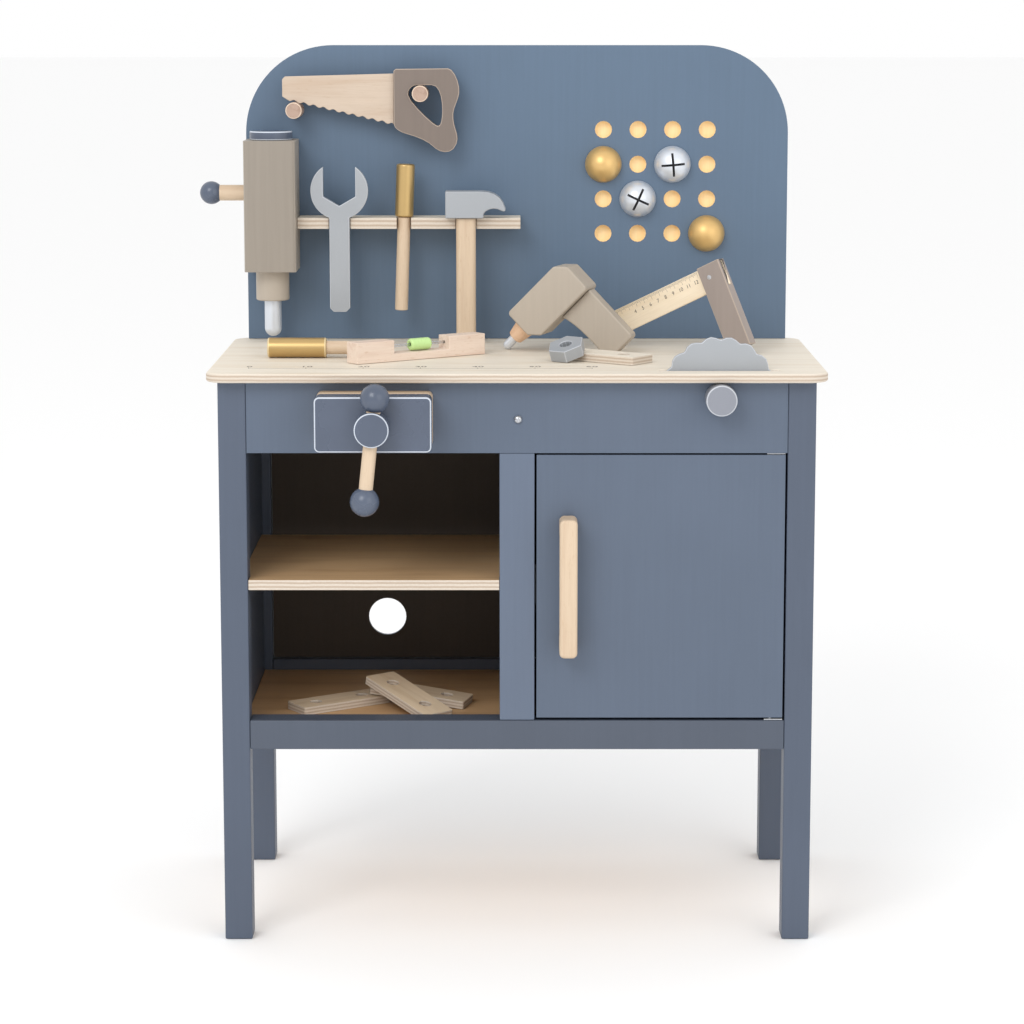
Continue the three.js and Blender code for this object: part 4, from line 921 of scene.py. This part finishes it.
# ---- Spirit level ----
LEVEL_TURN = math.radians(36)
BEAD_LENGTH = 24.0
BEAD_RADIUS = 6.0
BEAD_BORE = 1.6
WIRE_RADIUS = 0.55
WIRE_APART = 1.7
WIRE_SHORT = 2  # the wires are this much shorter than the rod they stand for
WIRE_SIDES = 16
level_turned = (0, 0, LEVEL_TURN)
level_middle = middle("level_body")
level_wood = bare_wood("level_wood", PINK_BEECH, PINK_BEECH_DARK, level_middle, level_turned, flecks=0.6)
softened("level_body", [level_wood], width=1.2)
level_run = Vector((math.cos(LEVEL_TURN), math.sin(LEVEL_TURN), 0))
wire_length = extent("level_rod", WIDE) / math.cos(LEVEL_TURN) - WIRE_SHORT
wires = bmesh.new()
for offset in (-WIRE_APART / 2, WIRE_APART / 2):
    wire_start = middle("level_rod") - level_run * (wire_length / 2) * MM + UP * offset * MM
    wire = lathed(rod(wire_length, WIRE_RADIUS), wire_start, level_run, sides=WIRE_SIDES)
    wire_mesh = bpy.data.meshes.new("wire")
    wire.to_mesh(wire_mesh)
    wire.free()
    wires.from_mesh(wire_mesh)
    bpy.data.meshes.remove(wire_mesh)
add_piece("level_wires", wires, [steel], "spirit_level", ["level_rod"])
green = satin_paint("green_paint", BEAD_GREEN, 0.3, 0.2)
turned(
    "level_bead_turned",
    [
        (0, BEAD_BORE),
        (0, BEAD_RADIUS),
        (BEAD_LENGTH, BEAD_RADIUS),
        (BEAD_LENGTH, BEAD_BORE),
        (0, BEAD_BORE),
    ],
    middle("level_bead") - level_run * (BEAD_LENGTH / 2) * MM,
    level_run,
    [green],
    "level_bead",
    ["level_bead"],
    width=2.0,
)

# ---- Toy drill ----
DRILL_TURN = math.radians(-18)
DRILL_RISE = math.radians(-45)
DRILL_HALF = 40.0
CHUCK_REAR = 11.0
CHUCK_FRONT = 7.6
CHUCK_LENGTH = 17.0
DRILL_BIT_RADIUS = 4.75
DRILL_BIT_LENGTH = 14.9
DRILL_BIT_SUNK = 1  # how far the bit starts inside the chuck
drill_turned = (0, DRILL_RISE, DRILL_TURN)
nose = Euler(drill_turned).to_matrix() @ LEFT
softened("drill_body", [beige], width=2.4, segments=4)
softened("drill_grip", [beige], width=2.0)
chuck_start = middle("drill_body") + nose * (DRILL_HALF + CLEAR) * MM
chuck_wood = bare_wood(
    "drill_chuck_wood", CHUCK_BEECH, CHUCK_BEECH_DARK, chuck_start, drill_turned, flecks=0.5
)
turned(
    "drill_chuck_turned",
    [(0, 0), (0, CHUCK_REAR), (CHUCK_LENGTH, CHUCK_FRONT), (CHUCK_LENGTH, 0)],
    chuck_start,
    nose,
    [chuck_wood],
    "drill_chuck",
    ["drill_chuck"],
    width=1.4,
)
bit_base = CHUCK_LENGTH - DRILL_BIT_SUNK
bit_round = CHUCK_LENGTH + DRILL_BIT_LENGTH + CLEAR - DRILL_BIT_RADIUS
drill_bit = [(bit_base, 0), (bit_base, DRILL_BIT_RADIUS)]
drill_bit += arc(bit_round, DRILL_BIT_RADIUS, start=0, end=90)
turned("drill_bit_turned", drill_bit, chuck_start, nose, [bolt_silver_painted_light], "drill_chuck")

# ---- Try square ----
SQUARE_TURN = math.radians(-34)
SQUARE_RISE = math.radians(-25)
STOCK_WIDTH = 27.0
STOCK_LENGTH = 92.8
STOCK_LIP = 1.5
STOCK_DEPTH = 12.5
RULE_THICKNESS = 4.0
RIVET_RADIUS = 2.6
RIVET_HEIGHT = 0.5
RIVET_PLACE = (10.5, 0.2, -12.0)  # from where the rule's upper edge meets the stock
RIVET_SIDES = 24
square_turned = (0, SQUARE_RISE, SQUARE_TURN)
square_turn = Euler(square_turned).to_matrix()
stock_centre = Vector((STOCK_WIDTH / 2, STOCK_DEPTH / 2, STOCK_LIP - STOCK_LENGTH / 2)) * MM
square_corner = middle("square_stock") - square_turn @ stock_centre
square_matrix = Matrix.Translation(square_corner) @ square_turn.to_4x4()
softened("square_stock", [stock_taupe, taupe_edge_highlight], width=0.8, highlight_edges=True)
turned(
    "square_rivet",
    [
        (0, 0),
        (0, RIVET_RADIUS),
        (RIVET_HEIGHT * 0.7, RIVET_RADIUS * 0.9),
        (RIVET_HEIGHT, RIVET_RADIUS * 0.5),
        (RIVET_HEIGHT, 0),
    ],
    square_corner + square_turn @ (Vector(RIVET_PLACE) * MM),
    square_turn @ FRONT,
    [steel],
    "try_square",
    sides=RIVET_SIDES,
)
rule_middle = middle("square_rule")
rule_wood = bare_wood("square_rule_wood", RULE_WOOD, RULE_WOOD_DARK, rule_middle, square_turned, flecks=0.15)
softened("square_rule", [rule_wood], width=0.4, segments=2)

# ---- Strips and nut ----
STRIPS = {
    "worktop_strip": (0, 0, math.radians(-37)),
    "floor_strip_left": (0, 0, math.radians(34)),
    "floor_strip_back": (0, math.radians(6), math.radians(-15)),
    "floor_strip_top": (0, math.radians(13), math.radians(-50)),
}
STRIP_THICKNESS = 8.0
for strip, turn in STRIPS.items():
    woods = (BIRCH, BIRCH_DARK) if strip == "worktop_strip" else (STRIP_WOOD, STRIP_WOOD_DARK)
    plywood(strip, width=0.7, turn=turn, thickness=STRIP_THICKNESS, woods=woods)
softened("nut", [silver, silver_edge_highlight], width=0.6, highlight_edges=True)

# ---- Printed marks ----
INK_HEIGHT = 0.06
ink = Finish("printed_ink").surface(colour=INK, roughness=0.6)


def printed_bar(form, x0, x1, y0, y1, matrix):
    """A thin flat bar of ink, in millimetres on the plane of its print."""
    corners = bmesh.ops.create_cube(form, size=1.0)["verts"]
    place = Matrix.Translation(Vector(((x0 + x1) / 2, (y0 + y1) / 2, INK_HEIGHT / 2)) * MM)
    size = Matrix.Diagonal(Vector((x1 - x0, y1 - y0, INK_HEIGHT, 1 / MM)) * MM)
    bmesh.ops.transform(form, matrix=matrix @ place @ size, verts=corners)


def printed_number(form, text, x, y, size, matrix):
    """Digits of ink whose middle is at x and y."""
    curve = bpy.data.curves.new(f"digits_{text}", "FONT")
    curve.body = text
    curve.size = size * MM
    curve.extrude = INK_HEIGHT * MM / 2
    curve.resolution_u = 3
    curve.align_x = "CENTER"
    curve.align_y = "CENTER"
    drawn = bpy.data.objects.new(f"digits_{text}", curve)
    bpy.context.scene.collection.objects.link(drawn)
    flat = bpy.data.meshes.new_from_object(drawn)
    bpy.data.objects.remove(drawn)
    bpy.data.curves.remove(curve)
    place = Matrix.Translation(Vector((x, y, INK_HEIGHT / 2)) * MM)
    flat.transform(matrix @ place)
    form.from_mesh(flat)
    bpy.data.meshes.remove(flat)


MARK_START = -261.5
MARK_STEP = 55.8
MARKS = 7
MARK_LENGTH = 6
LINE_Y = 30.0
HALF_LINE = 0.35
NUMBER_RISE = 14  # from the line to the middle of its numbers
NUMBER_SIZE = 12
top_print = Matrix.Translation(Vector((BENCH_X, BENCH_Y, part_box("worktop")[1].z)))
form = bmesh.new()
mark_end = MARK_START + (MARKS - 1) * MARK_STEP
printed_bar(form, MARK_START, mark_end, LINE_Y - HALF_LINE, LINE_Y + HALF_LINE, top_print)
for mark in range(MARKS):
    x = MARK_START + mark * MARK_STEP
    printed_bar(form, x - HALF_LINE, x + HALF_LINE, LINE_Y, LINE_Y + MARK_LENGTH, top_print)
    printed_number(form, str(mark * 10), x, LINE_Y + NUMBER_RISE, NUMBER_SIZE, top_print)
add_piece("worktop_marks", form, [ink], "bench")

# The ruler's face looks along -y of the square's own frame.
CENTIMETRE = 10.0
SCALE_START = -4
SCALE_READING = 12.4  # centimetres, at the start of the scale
SCALE_TICKS = 129
TICK_HEIGHTS = {10: 6.0, 5: 4.2, 1: 2.8}
HALF_TICK = 0.1
SCALE_MARGIN = 0.6
DIGITS_Y = -10.5
DIGITS_SIZE = 5.6
rule_front = (STOCK_DEPTH - RULE_THICKNESS) / 2
rule_face = Matrix.Translation(Vector((0, rule_front, 0)) * MM) @ Matrix.Rotation(math.radians(90), 4, "X")
rule_print = square_matrix @ rule_face
form = bmesh.new()
for tick in range(SCALE_TICKS):
    x = SCALE_START - tick
    height = next(size for step, size in TICK_HEIGHTS.items() if tick % step == 0)
    printed_bar(form, x - HALF_TICK, x + HALF_TICK, -height - SCALE_MARGIN, -SCALE_MARGIN, rule_print)
for number in range(4, 13):
    x = SCALE_START - (SCALE_READING - number) * CENTIMETRE
    printed_number(form, str(number), x, DIGITS_Y, DIGITS_SIZE, rule_print)
add_piece("rule_marks", form, [ink], "try_square")

# ---- Stage, camera and light ----
FLOOR_HALF = 60.0
FLOOR_DROP = 0.0004  # keeps the floor clear of the feet
FLOOR_WHITE = (0.96, 0.96, 0.96, 1)
floor = bmesh.new()
bmesh.ops.create_grid(floor, x_segments=1, y_segments=1, size=FLOOR_HALF)
floor_mesh = bpy.data.meshes.new("floor")
floor.to_mesh(floor_mesh)
floor.free()
floor_mesh.materials.append(Finish("pale_floor").surface(colour=FLOOR_WHITE, roughness=0.9))
floor_thing = bpy.data.objects.new("floor", floor_mesh)
floor_thing.location = (0, 0, -FLOOR_DROP)
bpy.context.scene.collection.objects.link(floor_thing)

world = bpy.data.worlds.new("studio")
world.use_nodes = True
world.node_tree.nodes["Background"].inputs["Color"].default_value = WHITE
world.node_tree.nodes["Background"].inputs["Strength"].default_value = 1.0
bpy.context.scene.world = world
bpy.context.scene.view_settings.view_transform = "Standard"

LIGHT_TARGET = (0, 0, 0.5)


def soft_light(name, place, size, power):
    """A square lamp that faces the bench, in metres and watts."""
    data = bpy.data.lights.new(name, "AREA")
    data.shape = "SQUARE"
    data.size = size
    data.energy = power
    lamp = bpy.data.objects.new(name, data)
    lamp.location = place
    lamp.rotation_euler = (Vector(LIGHT_TARGET) - Vector(place)).to_track_quat("-Z", "Y").to_euler()
    bpy.context.scene.collection.objects.link(lamp)


soft_light("key", place=(-1.3, -2.6, 2.6), size=1.6, power=42)
soft_light("fill", place=(1.9, -2.4, 1.5), size=2.2, power=14)

CAMERA_DISTANCE = 2.771
CAMERA_HEIGHT = 0.9064
CAMERA_PITCH = math.radians(8.35)
camera_data = bpy.data.cameras.new("camera")
camera_data.sensor_width = 36.0
camera_data.lens = 101.9
camera_data.shift_x = -0.0049
camera_data.shift_y = -0.07
camera = bpy.data.objects.new("camera", camera_data)
camera.location = (BENCH_X, BENCH_Y - CAMERA_DISTANCE, CAMERA_HEIGHT)
camera.rotation_euler = (math.radians(90) - CAMERA_PITCH, 0, 0)
bpy.context.scene.collection.objects.link(camera)
bpy.context.scene.camera = camera
